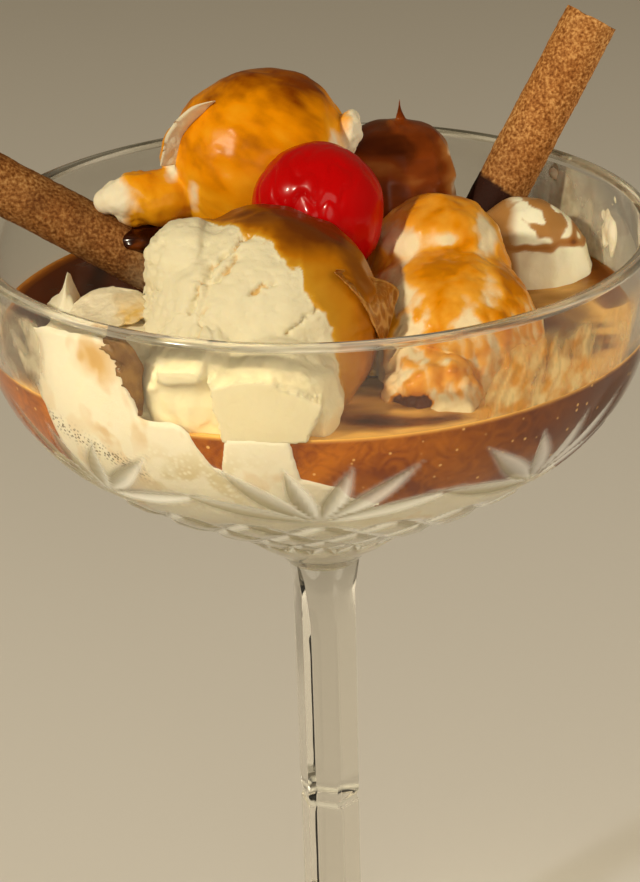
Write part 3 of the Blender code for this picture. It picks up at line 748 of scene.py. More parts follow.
def make_right_scoop():
    """The scoop at the right: a dome over a broader body, with caramel running down it between stripes of cream."""
    piece = soft_copy("right_scoop", "scoop_right", 0.42, 33)
    points, normals = read_points(piece)
    runs = lumps(points, 3.0 * MM, 31, 3, (0.7, 0.7, 3.0))
    fine = lumps(points, 2.0 * MM, 32, 3)
    x, up = points[:, 0] / MM, above_rim(points)
    low = 1 - ramp(up, -8.0, -2.0)
    sauce = 0.5 + 0.14 * runs + 0.12 * fine + 0.12 * ramp(up, 1.0, 4.0)
    sauce += low * (-0.1 + 0.5 * runs)
    # Painted shade: the caramel is made darker along the crease under the dome, besides the crease's own dip.
    from_groove = up + 0.6 + 0.5 * lumps(points, 5 * MM, 34, 2) - 0.18 * (x - 19)
    groove = np.exp(-((from_groove / 0.9) ** 2)) * ramp(-points[:, 1], 8 * MM, 14 * MM)
    bare = patches(
        points,
        (1.0, (12.2, -14.5, 0.0), (4.0, 7, 2.6)),
        (1.0, (26.3, -12.5, 0.9), (1.7, 6, 3.2)),
        (0.7, (20.2, -14, 0.9), (1.9, 4, 0.9)),
        (0.9, (12.2, -24, -3.6), (2.0, 7, 2.4)),
        (0.7, (14.0, -31.4, -7.2), (1.6, 5, 3.4)),
        (0.6, (22.6, -32, -5.5), (1.4, 5, 2.4)),
        (1.8, (18.8, -36, -16.4), (3.4, 9, 2.2)),
        (0.5, (26.0, -25, -4), (1.6, 5, 2.6)),
        (0.7, (10.5, -31.5, -13.5), (3.4, 5, 4.5)),
    )
    film = near(points, (29, -21, -3.5), (2.4, 8, 5))
    # A small hollow low on its front. Painted shade: it is coloured the darkest brown.
    into = np.array((-0.03, -0.92, 0.39))
    beside = points - spot(13.2, -34, -17.4)
    beside = np.abs(beside - (beside @ into)[:, None] * into) / (np.array((3.0, 1.5, 1.5)) * MM)
    hollow_and_shade = ramp(1.2 - np.linalg.norm(beside, axis=1) + 0.4 * lumps(points, 1.6 * MM, 37, 2), 0.0, 0.35)
    beige = near(points, (9.4, -33, -14.0), (4.4, 8, 4.0))
    sauce = np.clip(sauce + 0.28 * groove + 0.4 * film - 0.85 * bare, 0.05, 1)
    sauce = sauce * (1 - beige) + 0.17 * beige
    sauce = np.maximum(np.minimum(sauce, 0.74), 1.15 * hollow_and_shade)
    height = 0.3 + 0.45 * lumps(points, 5 * MM, 33, 2) + 0.3 * ramp(sauce, 0.1, 0.5) + 0.16 * fine - 0.35 * groove
    height += low * (0.3 * np.abs(runs) + 0.2 * lumps(points, 1.6 * MM, 35, 2)) - 1.2 * hollow_and_shade
    height += 1.9 * near(points, (15.5, -32.5, -10.6), (9, 6, 2.0))
    height += (1 - ramp(up, -12, -8)) * (1.5 * lumps(points, 4.5 * MM, 36, 3) - 0.5)
    points += normals * (height * MM)[:, None]
    move_points(piece, seat_in_wall(points), sauce=sauce)
    tones = ("#F0AA38", "#E08A00", "#642C02", "#F6E6C0", "#EACE94")
    caramel = ice_cream_material("right_scoop_caramel", *tones, stain=0.36)
    finish_piece(piece, caramel, "caramel_ice_cream", "scoop_right")


def make_back_scoop():
    """The scoop at the back, under a smooth glossy coat of dark coffee and syrup, drawn out to a thin sharp peak."""
    piece = soft_copy("back_scoop", "scoop_back", 0.42, 4)
    points, normals = read_points(piece)
    rings = np.sin(points[:, 2] / (1.25 * MM) + 1.5 * lumps(points, 9 * MM, 41))
    streaks = lumps(points, 4 * MM, 42, 3, (2.2, 2.2, 0.7))
    # Painted light: a paler band round its upper part, where light falls just above the top scoop's shadow.
    lit_band = np.exp(-((above_rim(points) - 3.0) ** 2) / 1.2)
    sauce = 0.8 + 0.24 * streaks - 0.5 * ramp(points[:, 0], 20.5 * MM, 23.5 * MM) - 0.18 * lit_band
    height = 0.2 + 0.3 * lumps(points, 6 * MM, 43, 2) + 0.12 * rings * ramp(points[:, 0], 15 * MM, 21 * MM)
    points += normals * (height * MM)[:, None]
    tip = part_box("scoop_back")[1].z
    root = RIM_HEIGHT + 6.2 * MM
    spike = points[:, 2] > root
    middle = points[spike, :2].mean(0)
    slim = 1 - 0.85 * ramp(points[:, 2], root, tip - 0.5 * MM)
    points[:, :2] = np.where(spike[:, None], middle + (points[:, :2] - middle) * slim[:, None], points[:, :2])
    points[:, 0] += ramp(points[:, 2], root, tip) * 0.5 * MM
    sauce -= 0.1 * ramp(points[:, 2], root, tip - 2 * MM)
    move_points(piece, points, sauce=np.clip(sauce, 0, 1))
    coffee = ice_cream_material("back_scoop_coffee", "#B4763A", "#823A0C", "#4A1A04")
    finish_piece(piece, coffee, "coffee_ice_cream", "scoop_back")


def make_far_right_scoop():
    """The small scoop behind the right one: cream, with thin syrup pooled on its crown, browner at its edge."""
    piece = soft_copy("far_right_scoop", "scoop_far_right", 0.42, 30)
    points, normals = read_points(piece)
    x, up = points[:, 0] / MM, above_rim(points)
    edge = up + 10.2 + 0.35 * (x - 41) * ramp(x, 38, 43) + 0.8 * lumps(points, 4 * MM, 51, 2)
    pool = ramp(edge, -0.2, 0.8)
    brink = np.exp(-(((edge - 0.5) / 0.5) ** 2))
    blobs = ramp(lumps(points, 3.8 * MM, 52, 2), -0.05, 0.15) * ramp(edge, 0.8, 1.8)
    rim_line = np.exp(-(((x - 42.4 - 0.35 * (up + 9)) / 0.7) ** 2)) * pool
    sauce = pool * (0.3 - 0.29 * blobs) + 0.24 * brink + 0.5 * rim_line
    # Painted shadow: grey-brown to the left of a wavy upright line, below the pool.
    painted_shade_side = ramp(0.8 * lumps(points, 4 * MM, 54, 2) - x, -40.5, -38) * (1 - pool)
    sauce = np.maximum(np.maximum(sauce, 0.13 * painted_shade_side), 0.36 * ramp(-x, -35, -31))
    height = 0.3 + 0.35 * lumps(points, 5 * MM, 53, 2) + 0.12 * pool + 0.1 * brink
    points += normals * (height * MM)[:, None]
    move_points(piece, seat_in_wall(points), sauce=np.clip(sauce, 0, 1))
    # Painted light: its cream is near white, brighter than the other scoops', to stand in for light falling on it.
    tones = ("#B08048", "#9A5C1E", "#5A2A0A", "#FFFCE2", "#EEE4BE")
    cream = ice_cream_material("far_right_scoop_cream", *tones)
    finish_piece(piece, cream, "vanilla_ice_cream", "scoop_far_right")


def make_left_scoop():
    """The scoop pressed against the glass at the left. Its top is torn where the wafer was pushed in."""
    piece = soft_copy("left_scoop", "scoop_left", 0.42, 10)
    points, normals = read_points(piece)
    up = above_rim(points)
    crags = np.abs(lumps(points, 3 * MM, 61, 3))
    ragged = near(points, (-25.5, -42, -9), (3.0, 8, 12))
    sauce = 0.12 * ramp(lumps(points, 7 * MM, 65, 2), 0.1, 0.5) * (1 - ramp(up, -6, -2))
    height = 0.3 + 0.4 * lumps(points, 6 * MM, 62, 2) + 0.4 * crags * ramp(up, -12, -4)
    height += 0.12 * lumps(points, 2 * MM, 63, 2) + 1.2 * ragged * lumps(points, 2.2 * MM, 64, 3, (1, 1, 0.6))
    points += normals * (height * MM)[:, None]
    x, y, up = points[:, 0] / MM, points[:, 1] / MM, above_rim(points)
    bit = ramp(-x, 34.8, 36.0) * (1 - ramp(-x, 37.8, 39.0)) * ramp(y, -28, -25)
    points[:, 2] -= np.clip(up + 5.2, 0, None) * 0.8 * (1 - bit) * MM
    points[:, 2] -= np.clip(up + 2.5, 0, None) * 0.35 * bit * MM
    points[:, 0] -= (points[:, 0] + 37.2 * MM) * 0.75 * bit * ramp(up, -6, 0)
    points = seat_in_wall(points, 3.2)
    at = bearing(points) + 0.8 * lumps(points, 3 * MM, 58, 2)
    points[:, :2] *= (1 - 0.03 * ramp(-at, 138, 141) * (1 - ramp(above_rim(points), -15, -9)))[:, None]
    stain = 0.5 * near(points, (-34.2, -22, -2.2), (1.6, 4, 2.0))
    move_points(piece, points, sauce=sauce + stain, specks=coffee_line(points))
    cream = ice_cream_material("left_scoop_cream", "#E2B060", "#C88420", "#6A3206")
    add_bubbles(cream)
    finish_piece(piece, cream, "vanilla_ice_cream", "scoop_left")


def make_flake():
    """A thin curled flake, shaved off by the scoop, that lies on the left one under the wafer."""
    rows, columns = 46, 90
    along = np.linspace(-1, 1, columns)[None, :]
    across = np.linspace(-1, 1, rows)[:, None]
    breadth = (1 - np.abs(along) ** 2.6) ** 0.7 + 0.02
    x = -30.4 + 7.4 * along + 0 * across
    y = -29.0 + 4.6 * across * breadth - 0.7 * along
    up = -2.6 + 0.3 * along + across * breadth - 0.9 * (along - 0.2) ** 2 + 0.35 * np.sin(3 * along + 2 * across)
    grid = np.stack([x * MM, y * MM, RIM_HEIGHT + up * MM], 2)
    flat = grid.reshape(-1, 3)
    ragged = np.stack([lumps(flat, 2.4 * MM, seed, 3) for seed in (66, 67, 68)], 1) * np.array((0.6, 0.6, 0.22)) * MM
    outer = (flat + ragged).reshape(grid.shape)
    thick = (0.25 + 0.75 * breadth * (1 - across**2))[:, :, None] * np.array((0.1, 0.15, -1.0)) * MM
    flake = sheet_mesh("cream_flake", outer, outer + thick)
    points, _ = read_points(flake)
    peel = near(points, (-26.4, -31.0, -3.6), (2.8, 3.2, 2.4)) * (0.75 + 0.5 * lumps(points, 1.2 * MM, 69, 2))
    shade = 0.1 * ramp(lumps(points, 5 * MM, 70, 2), -0.1, 0.4)
    move_points(flake, points, sauce=np.clip(0.02 + shade + 0.4 * peel, 0, 1))
    cream = ice_cream_material("flake_cream", "#E0B458", "#C88420", "#6A3206", "#EDE0C2", "#D8C7A2", stain=0.4)
    finish_piece(flake, cream, "vanilla_ice_cream")


PACKED_TONES = ("#D8B070", "#B88038", "#6A3206", "#F5EEDA", "#E9DFC2")


def make_base():
    """Ice cream packed and melting in the bottom of the bowl, pale and airy against the glass."""
    piece = soft_copy("packed_ice_cream", "ice_cream_base", 0.7, 2)
    points, normals = read_points(piece)
    height = 0.45 + 0.4 * lumps(points, 6 * MM, 71, 2) + 0.15 * lumps(points, 2 * MM, 72, 2)
    points += normals * (height * MM)[:, None]
    points = seat_in_wall(points, 1.6)
    at = bearing(points) + 0.8 * lumps(points, 3 * MM, 58, 2)
    points[:, :2] *= (1 - 0.03 * ramp(-at, 138, 141) * (at > -185) * ramp(above_rim(points), -28, -25))[:, None]
    move_points(piece, points, sauce=0.08 * ramp(lumps(points, 8 * MM, 73, 2), 0.1, 0.5), specks=coffee_line(points))
    cream = ice_cream_material("packed_cream", *PACKED_TONES)
    add_bubbles(cream)
    finish_piece(piece, cream, "vanilla_ice_cream", "ice_cream_base")


def make_bank():
    """Where the packed ice cream rises along the glass at the front and left, before the coffee."""
    # Its outline as bearings and heights: up its left side, then along its top to the right.
    start = ((-145, -30), (-142.2, -26), (-139.6, -22), (-140.4, -17), (-142.6, -12), (-143.2, -4.6))
    top = ((-143.2, -4.6), (-136.5, -3.2), (-131.5, -2.8), (-125.4, -2.2), (-123.6, -4.5), (-121.8, -8))
    top += ((-119.6, -14.0), (-113, -13.6), (-111.6, -14.6), (-106.4, -22.2), (-104.8, -15.0), (-94.8, -15.0))
    top += ((-93.2, -21.7), (-88.5, -22.8), (-84, -26), (-80, -28.2), (-66, -27.9), (-56, -27.9), (-48, -28.8))
    top += ((-40, -31),)

    def inside(points):
        at = bearing(points) + 0.4 * lumps(points, 2.4 * MM, 78, 3)
        under = np.interp(at, *np.array(top).T) + 0.35 * lumps(points, 3 * MM, 74, 2) - above_rim(points)
        left = np.interp(above_rim(points), *np.array(start)[:, ::-1].T)
        return 0.8 * np.clip(np.minimum(under, 0.85 * (at - left)), -1, 1)

    bank = wall_film("cream_bank", (-148, -40), (-36, -1.8), inside, into_wall=0.6, taper=0.4)
    points, _ = read_points(bank)
    stain = 0.13 * ramp(lumps(points, 5 * MM, 73, 3, (1, 1, 1.8)), 0.05, 0.4)
    stain += 0.22 * near(points, (-32, -40, -6), (3, 5, 3))
    stain += 0.16 * near(points, (-30, -39, -15), (1.6, 4, 5)) * ramp(lumps(points, 1.5 * MM, 79, 2), -0.3, 0.3)
    froth = near(points, (-17, -43, -23), (9, 12, 5)) * ramp(lumps(points, 4 * MM, 76, 2), -0.2, 0.2)
    move_points(bank, points, sauce=stain, specks=coffee_line(points), froth=froth)
    cream = ice_cream_material("risen_cream", *PACKED_TONES)
    add_bubbles(cream)
    finish_piece(bank, cream, "vanilla_ice_cream")


def make_gap_shade():
    """Painted shade: a ragged brown sheet on the glass in the gap between the left and front scoops, seen through the
    glass.
    """

    def inside(points):
        at, up = bearing(points), above_rim(points)
        left = np.interp(up, (-17, -13, -8, -2), (-119.6, -120.8, -122.6, -124.8))
        left += 2.4 * lumps(points, 2.0 * MM, 75, 4, (1, 1, 0.6)) * ramp(up, -14, -11) + 1.3 * ramp(-up, 4, 8)
        right = np.interp(up, (-17, -13, -5, -2), (-119.6, -119.0, -118.2, -121.0))
        right += 0.4 * lumps(points, 2 * MM, 77, 3)
        return 0.8 * np.clip(np.minimum(at - left, right - at), -1, 1)

    gap_shade = wall_film("painted_gap_shade", (-130, -115), (-17, -2), inside, into_wall=0.8, taper=0.15)
    finish_piece(gap_shade, film_material("gap_shade_brown", "#6E4C2A", "#8C6838"), "coffee")


def coffee_line(points):
    """1 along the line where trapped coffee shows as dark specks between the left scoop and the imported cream."""
    along = bearing(points) + 140
    off = above_rim(points) + 17.9 + 0.28 * along
    return np.exp(-((off / 1.3) ** 2)) * ramp(along, -4, 2) * (1 - ramp(along, 17, 21))


def add_bubbles(cream):
    """Small bubbles show against the glass as pale dots, and trapped coffee as a line of dark specks. Both are
    really 0.1 to 0.3 mm across, and are drawn two or three times that to show."""
    tree = cream.node_tree
    shader = tree.nodes["Principled BSDF"]
    plain = shader.inputs["Base Color"].links[0].from_socket
    here = add(tree, "TexCoord").outputs["Object"]
    cells = add(tree, "TexVoronoi", {"Scale": 1 / (0.9 * MM)}, Vector=here)
    rings = {"From Min": 0.15, "From Max": 0.5, "To Min": 0.0, "To Max": 0.75}
    froth = add(tree, "MapRange", rings, Value=cells.outputs["Distance"])
    airy = {"data_type": "RGBA", "blend_type": "MULTIPLY", 7: "#DCCDA2"}
    bubbly = add(tree, "Attribute", {"attribute_name": "froth"}).outputs["Fac"]
    amount = add(tree, "Math", {"operation": "MULTIPLY"}, i0=froth, i1=bubbly)
    frothed = add(tree, "Mix", airy, Factor=amount, i6=plain)
    speck = add(tree, "Attribute", {"attribute_name": "specks"}).outputs["Fac"]
    drop = add(tree, "TexVoronoi", {"Scale": 1 / (0.55 * MM)}, Vector=here)
    round_dot = {"From Min": 0.32, "From Max": 0.42, "To Min": 1.0, "To Max": 0.0}
    small = add(tree, "MapRange", round_dot, Value=drop.outputs["Distance"])
    dark = add(tree, "Math", {"operation": "MULTIPLY"}, i0=small, i1=speck)
    dotted = add(tree, "Mix", {"data_type": "RGBA", 7: "#6E5E3C"}, Factor=dark, i6=frothed.outputs[2])
    wire(tree, shader, Base_Color=dotted.outputs[2])


make_front_scoop()
make_top_scoop()
make_flap()
make_right_scoop()
make_back_scoop()
make_far_right_scoop()
make_left_scoop()
make_flake()
make_base()
make_bank()
make_gap_shade()

# --- Coffee: hot espresso clouded with melted ice cream, paler where cream streaks its surface. It climbs the
# glass a little, and small bubbles cling to the wall. --------------------------------------------------------
MENISCUS = 0.7 * MM
COFFEE_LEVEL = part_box("coffee")[1].z - MENISCUS
COFFEE_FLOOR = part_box("coffee")[0].z
COFFEE_SEAT = 0.25 * MM
COFFEE_AROUND = 300
SURFACE_RINGS = 46
SIDE_RINGS = 16


def make_coffee():
    wall = float(wall_at(COFFEE_LEVEL)) + COFFEE_SEAT
    surface = wall * np.linspace(0.02, 1, SURFACE_RINGS) ** 0.8
    side = np.linspace(COFFEE_LEVEL - 0.1 * MM, COFFEE_FLOOR, SIDE_RINGS)
    radius = np.concatenate([surface, wall_at(side) + COFFEE_SEAT])
    height = np.concatenate([COFFEE_LEVEL + MENISCUS * np.exp(-(wall - surface) / (0.9 * MM)), side])
    liquid = turned_piece("milky_coffee", *(np.repeat(row[:, None], COFFEE_AROUND, 1) for row in (radius, height)))
    points, _ = read_points(liquid)
    inward = (wall - np.hypot(points[:, 0], points[:, 1])) / MM
    on_top = points[:, 2] > COFFEE_LEVEL - 0.05 * MM
    points[:, 2] += on_top * ramp(inward, 1, 4) * 0.15 * MM * lumps(points, 7 * MM, 91, 2)
    streaks = lumps(points, 5 * MM, 92, 3, (2.6, 0.7, 1))
    ring = 1.3 * ramp(-inward, -10, -3) * ramp(points[:, 0], 5 * MM, 20 * MM) * (points[:, 1] < 0)
    front = np.maximum(ramp(-points[:, 1], 12 * MM, 34 * MM), ring)
    melt = 0.9 * near(points, (40, 6, -16.5), (8, 14, 9)) * (1 + 0.5 * streaks)
    cream = melt + np.clip(front * (0.45 + 0.9 * streaks + 0.6 * ramp(-inward, -6, 0)), 0, 1)
    lip = np.exp(-(((points[:, 2] - COFFEE_LEVEL - MENISCUS * 0.6) / (0.45 * MM)) ** 2)) * ramp(-inward, -1.5, 0)
    cream = np.clip(np.maximum(cream * on_top, 0.75 * lip), 0, 1)
    move_points(liquid, points, cream=cream, surface=on_top.astype(float))
    # Coffee with milk in it: opaque, orange-brown where the light reaches it, and as shiny as water. The bubbles on
    # the wall are really 0.3 mm across and are drawn a little larger.
    depths = {"Subsurface_Weight": 0.08, "Subsurface_Scale": 2.0 * MM, "Subsurface_Radius": (1.0, 0.4, 0.12)}
    milky, tree, shader = new_material("milky_coffee", Roughness=0.15, IOR=1.34, Specular_IOR_Level=0.15, **depths)
    here = add(tree, "TexCoord").outputs["Object"]
    apart = add(tree, "SeparateXYZ", Vector=here)
    cloud = add(tree, "TexNoise", {"Scale": 1 / (16 * MM), "Detail": 3.0, "Distortion": 1.2}, Vector=here)
    fine = add(tree, "TexNoise", {"Scale": 1 / (3.5 * MM), "Detail": 4.0, "Distortion": 2.5}, Vector=here)
    drift = add(tree, "Math", {"operation": "MULTIPLY_ADD", 1: 0.6}, i0=fine, i2=cloud)
    mixed = add(tree, "MapRange", {"From Min": 0.62, "From Max": 1.0}, Value=drift)
    body = add(tree, "Mix", {"data_type": "RGBA", 6: "#883E00", 7: "#C67000"}, Factor=mixed)
    # Painted shade: the coffee is made darker towards the right, away from the key lamp.
    shade_to_right = {"From Min": 12 * MM, "From Max": 42 * MM, "To Min": 0.0, "To Max": 0.9}
    dark = add(tree, "MapRange", shade_to_right, Value=apart.outputs["X"])
    deep = add(tree, "Mix", {"data_type": "RGBA", 7: "#4A1C02"}, Factor=dark, i6=body.outputs[2])
    swirl = add(tree, "Attribute", {"attribute_name": "cream"}).outputs["Fac"]
    top = add(tree, "Attribute", {"attribute_name": "surface"}).outputs["Fac"]
    skin = add(tree, "ValToRGB", Fac=swirl)
    stops = skin.color_ramp.elements
    stops[0].color, stops[1].color = linear("#4A1E06"), linear("#FAC264")
    stops.new(0.35).color = linear("#8A4E18")
    facing = add(tree, "Math", {"operation": "MAXIMUM"}, i0=top, i1=swirl)
    whole = add(tree, "Mix", {"data_type": "RGBA"}, Factor=facing, i6=deep.outputs[2], i7=skin)
    cells = add(tree, "TexVoronoi", {"Scale": 1 / (1.6 * MM)}, Vector=here)
    dots = {"From Min": 0.12, "From Max": 0.2, "To Min": 0.8, "To Max": 0.0}
    dot = add(tree, "MapRange", dots, Value=cells.outputs["Distance"])
    few = add(tree, "Math", {"operation": "GREATER_THAN", 1: 0.55}, i0=cells.outputs["Color"])
    bubble = add(tree, "Math", {"operation": "MULTIPLY"}, i0=dot, i1=few)
    below = add(tree, "Math", {"operation": "SUBTRACT"}, i0=bubble, i1=top)
    clung = add(tree, "MapRange", Value=below)
    dotted = add(tree, "Mix", {"data_type": "RGBA", 7: "#F0C070"}, Factor=clung, i6=whole.outputs[2])
    wire(tree, shader, Base_Color=dotted.outputs[2])
    finish_piece(liquid, milky, "coffee", "coffee")


make_coffee()

# --- Syrup and melt between the pieces: a wrinkled skin of caramel that spans the front and right scoops, a dark
# pool under the top scoop's tail, and thin smears of melted cream that cling to the inside of the glass. -------
def syrup_material(name, deep, light):
    """Cooked sugar syrup: clear brown and glossy, with paler ridges where it has set in wrinkles."""
    depths = {"Subsurface_Weight": 0.3, "Subsurface_Scale": 1.0 * MM, "Subsurface_Radius": (1.0, 0.5, 0.15)}
    made, tree, shader = new_material(name, Roughness=0.16, IOR=1.45, Specular_IOR_Level=0.35, **depths)
    ridge = add(tree, "Attribute", {"attribute_name": "ridge"}).outputs["Fac"]
    colour = add(tree, "Mix", {"data_type": "RGBA", 6: deep, 7: light}, Factor=ridge)
    wire(tree, shader, Base_Color=colour.outputs[2])
    return made


def make_caramel_skin():
    """Caramel that set across the gap between the front and right scoops, and wrinkled as it sank."""
    rows, columns = 90, 70
    near_places = [(2.6, -34.7, 3.5), (4.5, -35.0, 1.6), (6.7, -34.8, -1.5), (8.1, -34.4, -4.8), (9.0, -33.6, -7.4)]
    far_places = [(2.9, -34.0, 3.7), (5.8, -29.5, 1.5), (11.8, -24.6, -2.8), (11.4, -27.4, -5.2), (10.0, -32, -8.2)]
    near_edge, far_edge = along_curve(near_places, rows), along_curve(far_places, rows)
    share = np.linspace(0, 1, columns)[None, :, None]
    grid = near_edge[:, None, :] * (1 - share) + far_edge[:, None, :] * share
    flat = grid.reshape(-1, 3)
    facing = np.array((0.15, -0.85, 0.5))
    crease = np.abs(lumps(flat, 4.5 * MM, 101, 2, (0.6, 1, 1.5)))
    fine = np.abs(lumps(flat, 1.8 * MM, 102, 2, (0.6, 1, 1.5)))
    sag = np.sin(math.pi * np.repeat(share[:, :, 0], rows, 0)).ravel()
    out = (1.2 - 0.7 * sag + 0.6 * (crease + 0.3 * fine)) * MM
    outer = flat + out[:, None] * facing
    skin = sheet_mesh("caramel_skin", outer.reshape(grid.shape), (outer - 0.7 * MM * facing).reshape(grid.shape))
    line = np.exp(-((crease / 0.05) ** 2)) + 0.6 * np.exp(-((fine / 0.05) ** 2))
    line = np.clip(line + 0.8 * np.exp(-(((sag - 0.1) / 0.08) ** 2)), 0, 1)
    points, _ = read_points(skin)
    move_points(skin, points, ridge=np.concatenate([line, line]))
    finish_piece(skin, syrup_material("set_caramel", "#945A1A", "#BC8A48"), "caramel_ice_cream")


def ball(name, rounds):
    """A ball one unit in radius, its faces split evenly a number of times."""
    bm = bmesh.new()
    bmesh.ops.create_icosphere(bm, subdivisions=rounds, radius=1.0)
    mesh = bpy.data.meshes.new(name)
    bm.to_mesh(mesh)
    bm.free()
    return add_object(name, mesh)


def even(points):
    """The thickness in millimetres of a film that lies evenly all over."""
    return np.full(len(points), 0.1)


def make_dark_pool():
    """Dark syrup that has run together under the top scoop's tail."""
    pool = ball("dark_syrup_pool", 5)
    ways, _ = read_points(pool)
    reach = 1 + 0.16 * lumps(ways, 0.7, 111, 2)
    points = spot(-26.6, 9.5, -4.9) + ways * reach[:, None] * np.array((8.2, 6.0, 3.0)) * MM
    move_points(pool, points, ridge=ramp(lumps(points, 3 * MM, 112, 2), 0.1, 0.5))
    finish_piece(pool, syrup_material("dark_syrup", "#2E0E02", "#6A3208"), "coffee")


def make_smears():
    """Cream wiped along the inside of the glass at the back, thin between two thicker dabs."""

    def dabs(points):
        large = ((1.1, (48.6, 16.0, -9.0), (3.0, 3.2, 3.4)), (1.0, (40.0, 31.5, -3.6), (3.4, 3.4, 1.5)))
        body = patches(points, *large, (0.8, (36.0, 36.0, -2.6), (2.0, 2.0, 1.0)))
        return 0.9 * (body + 0.55 * lumps(points, 2.0 * MM, 121, 4, (1, 1, 1.8)) - 0.55)

    def veil(points):
        body = near(points, (41, 30, -9), (10, 9, 8)) + near(points, (45, 20, -15), (7, 9, 6))
        return 0.8 * body * (0.75 + 0.5 * lumps(points, 3 * MM, 124, 3, (1, 1, 2)))

    dab = wall_film("cream_dabs", (8, 50), (-16, -1.8), dabs)
    finish_piece(dab, film_material("melted_cream", "#D8CCAA", "#F2ECD6"), "vanilla_ice_cream")
    smear = wall_film("cream_veil", (5, 62), (-22, -1.8), even, into_wall=0.1)
    points, _ = read_points(smear)
    move_points(smear, points, cover=np.clip(veil(points), 0, 0.7))
    finish_piece(smear, film_material("veil_of_cream", "#A8987A", "#CFC4A6", clear=True), "vanilla_ice_cream")


def make_streaks():
    """Pale wavy streaks on the glass above the coffee at the right: partly milky coffee left there as it drained,
    partly painted reflections.
    """
    streaks = wall_film("streaks_and_reflections", (-70, -14), (-20, -2.2), even, into_wall=0.1)
    points, _ = read_points(streaks)
    at, up = bearing(points), above_rim(points)
    wavy = points + 0.8 * MM * lumps(points, 5 * MM, 125, 2)[:, None]
    lean = wavy @ np.array(Matrix.Rotation(0.35, 3, "Y"))
    runs = ramp(lumps(lean, 1.0 * MM, 126, 2, (1, 1, 9)), -0.25, 0.3)
    broad = ramp(lumps(lean, 4.5 * MM, 127, 2, (1, 1, 2.5)), -0.3, 0.3)
    fade = ramp(at, -66, -59) * (1 - ramp(at, -30, -16)) * (1 - ramp(up, -7, -3)) * ramp(up, -20, -17)
    fade *= 0.35 + 0.65 * ramp(-at, 30, 55)
    move_points(streaks, points, cover=np.clip(fade * (0.12 + 0.5 * broad + 0.35 * runs), 0, 0.9))
    finish_piece(streaks, film_material("streaks_and_reflections", "#EAA640", "#FFDE9C", clear=True), "coffee")


def make_mist():
    """Mist on the cold glass at the left, with paler streaks where it was wiped."""
    mist = wall_film("mist_on_the_glass", (-182, -126), (-20, -2.6), even, into_wall=0.9)
    points, _ = read_points(mist)
    at, up = bearing(points), above_rim(points)
    wiped = points @ np.array(Matrix.Rotation(-0.6, 3, "X"))
    marks = ramp(lumps(wiped, 3.0 * MM, 131, 3, (1, 1, 3)), -0.1, 0.35)
    fade = ramp(at, -182, -165) * (1 - ramp(at, -144, -135)) * (1 - ramp(up, -4, -2.6))
    fade *= ramp(points[:, 2], COFFEE_LEVEL, COFFEE_LEVEL + 4 * MM)
    move_points(mist, points, cover=np.clip(fade * (0.28 + 0.5 * marks), 0, 0.8))
    finish_piece(mist, film_material("mist", "#7C6A54", "#CDC0A6", clear=True), "glass")


make_caramel_skin()
make_dark_pool()
make_smears()
make_streaks()
make_mist()

# --- Cherry: a stoned cocktail cherry, soaked in red syrup until its skin hangs slack and folded. It lies in the
# dip between the top, front and right scoops. -----------------------------------------------------------------
CHERRY_RADIUS = (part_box("cherry")[1].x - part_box("cherry")[0].x) / 2


def make_cherry():
    cherry = ball("cocktail_cherry", 6)
    ways, _ = read_points(cherry)
    dimple, chin, cheek = (
        np.array(Vector(way).normalized()) for way in ((-0.34, -0.88, 0.24), (0.62, -0.35, -0.7), (-0.9, -0.2, 0.1))
    )
    angle = np.arccos(np.clip(ways @ dimple, -1, 1))
    puckered = np.exp(-((angle / 0.7) ** 2)) * (0.75 + 0.5 * lumps(ways, 0.7, 9))
    folds = lumps(ways, 0.9, 3, 2)
    pleats = np.abs(lumps(ways, 0.62, 5, 2, (0.6, 1, 1.5)))
    small = np.abs(lumps(ways, 0.3, 7, 1, (0.6, 1, 1.5)))
    reach = 1.02 + 0.03 * folds - 0.05 * np.exp(-((angle / 0.35) ** 2))
    reach -= 0.198 * (0.25 - np.minimum(pleats, 0.25)) * (0.2 + puckered)
    reach -= 0.04 * (0.25 - np.minimum(small, 0.25)) * puckered
    reach += 0.10 * np.clip(ways @ chin, 0, 1) ** 6 + 0.03 * np.clip(ways @ cheek, 0, 1) ** 3
    centre = np.array(sum(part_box("cherry"), Vector()) / 2)
    move_points(cherry, centre + ways * (reach * CHERRY_RADIUS * 0.98)[:, None])
    # Candied cherry skin: dyed a clear deep red, and wet, so that it glows a little and has small sharp lights.
    depths = {"Subsurface_Weight": 0.2, "Subsurface_Scale": 2.0 * MM, "Subsurface_Radius": (1.0, 0.1, 0.06)}
    wet = {"Roughness": 0.25, "Specular_IOR_Level": 0.12, "Coat_Weight": 0.14, "Coat_Roughness": 0.06}
    skin, tree, shader = new_material("cherry_skin", **wet, **depths)
    here = add(tree, "TexCoord").outputs["Object"]
    patch = add(tree, "TexNoise", {"Scale": 1 / (8 * MM), "Detail": 2.0}, Vector=here)
    red = add(tree, "Mix", {"data_type": "RGBA", 6: "#AE0002", 7: "#C80204"}, Factor=patch)
    ripple = add(tree, "TexNoise", {"Scale": 1 / (2.4 * MM), "Detail": 2.0}, Vector=here)
    bump = add(tree, "Bump", {"Strength": 0.12, "Distance": 0.2 * MM}, Height=ripple)
    wire(tree, shader, Base_Color=red.outputs[2], Normal=bump)
    finish_piece(cherry, skin, "cherry", "cherry")


make_cherry()

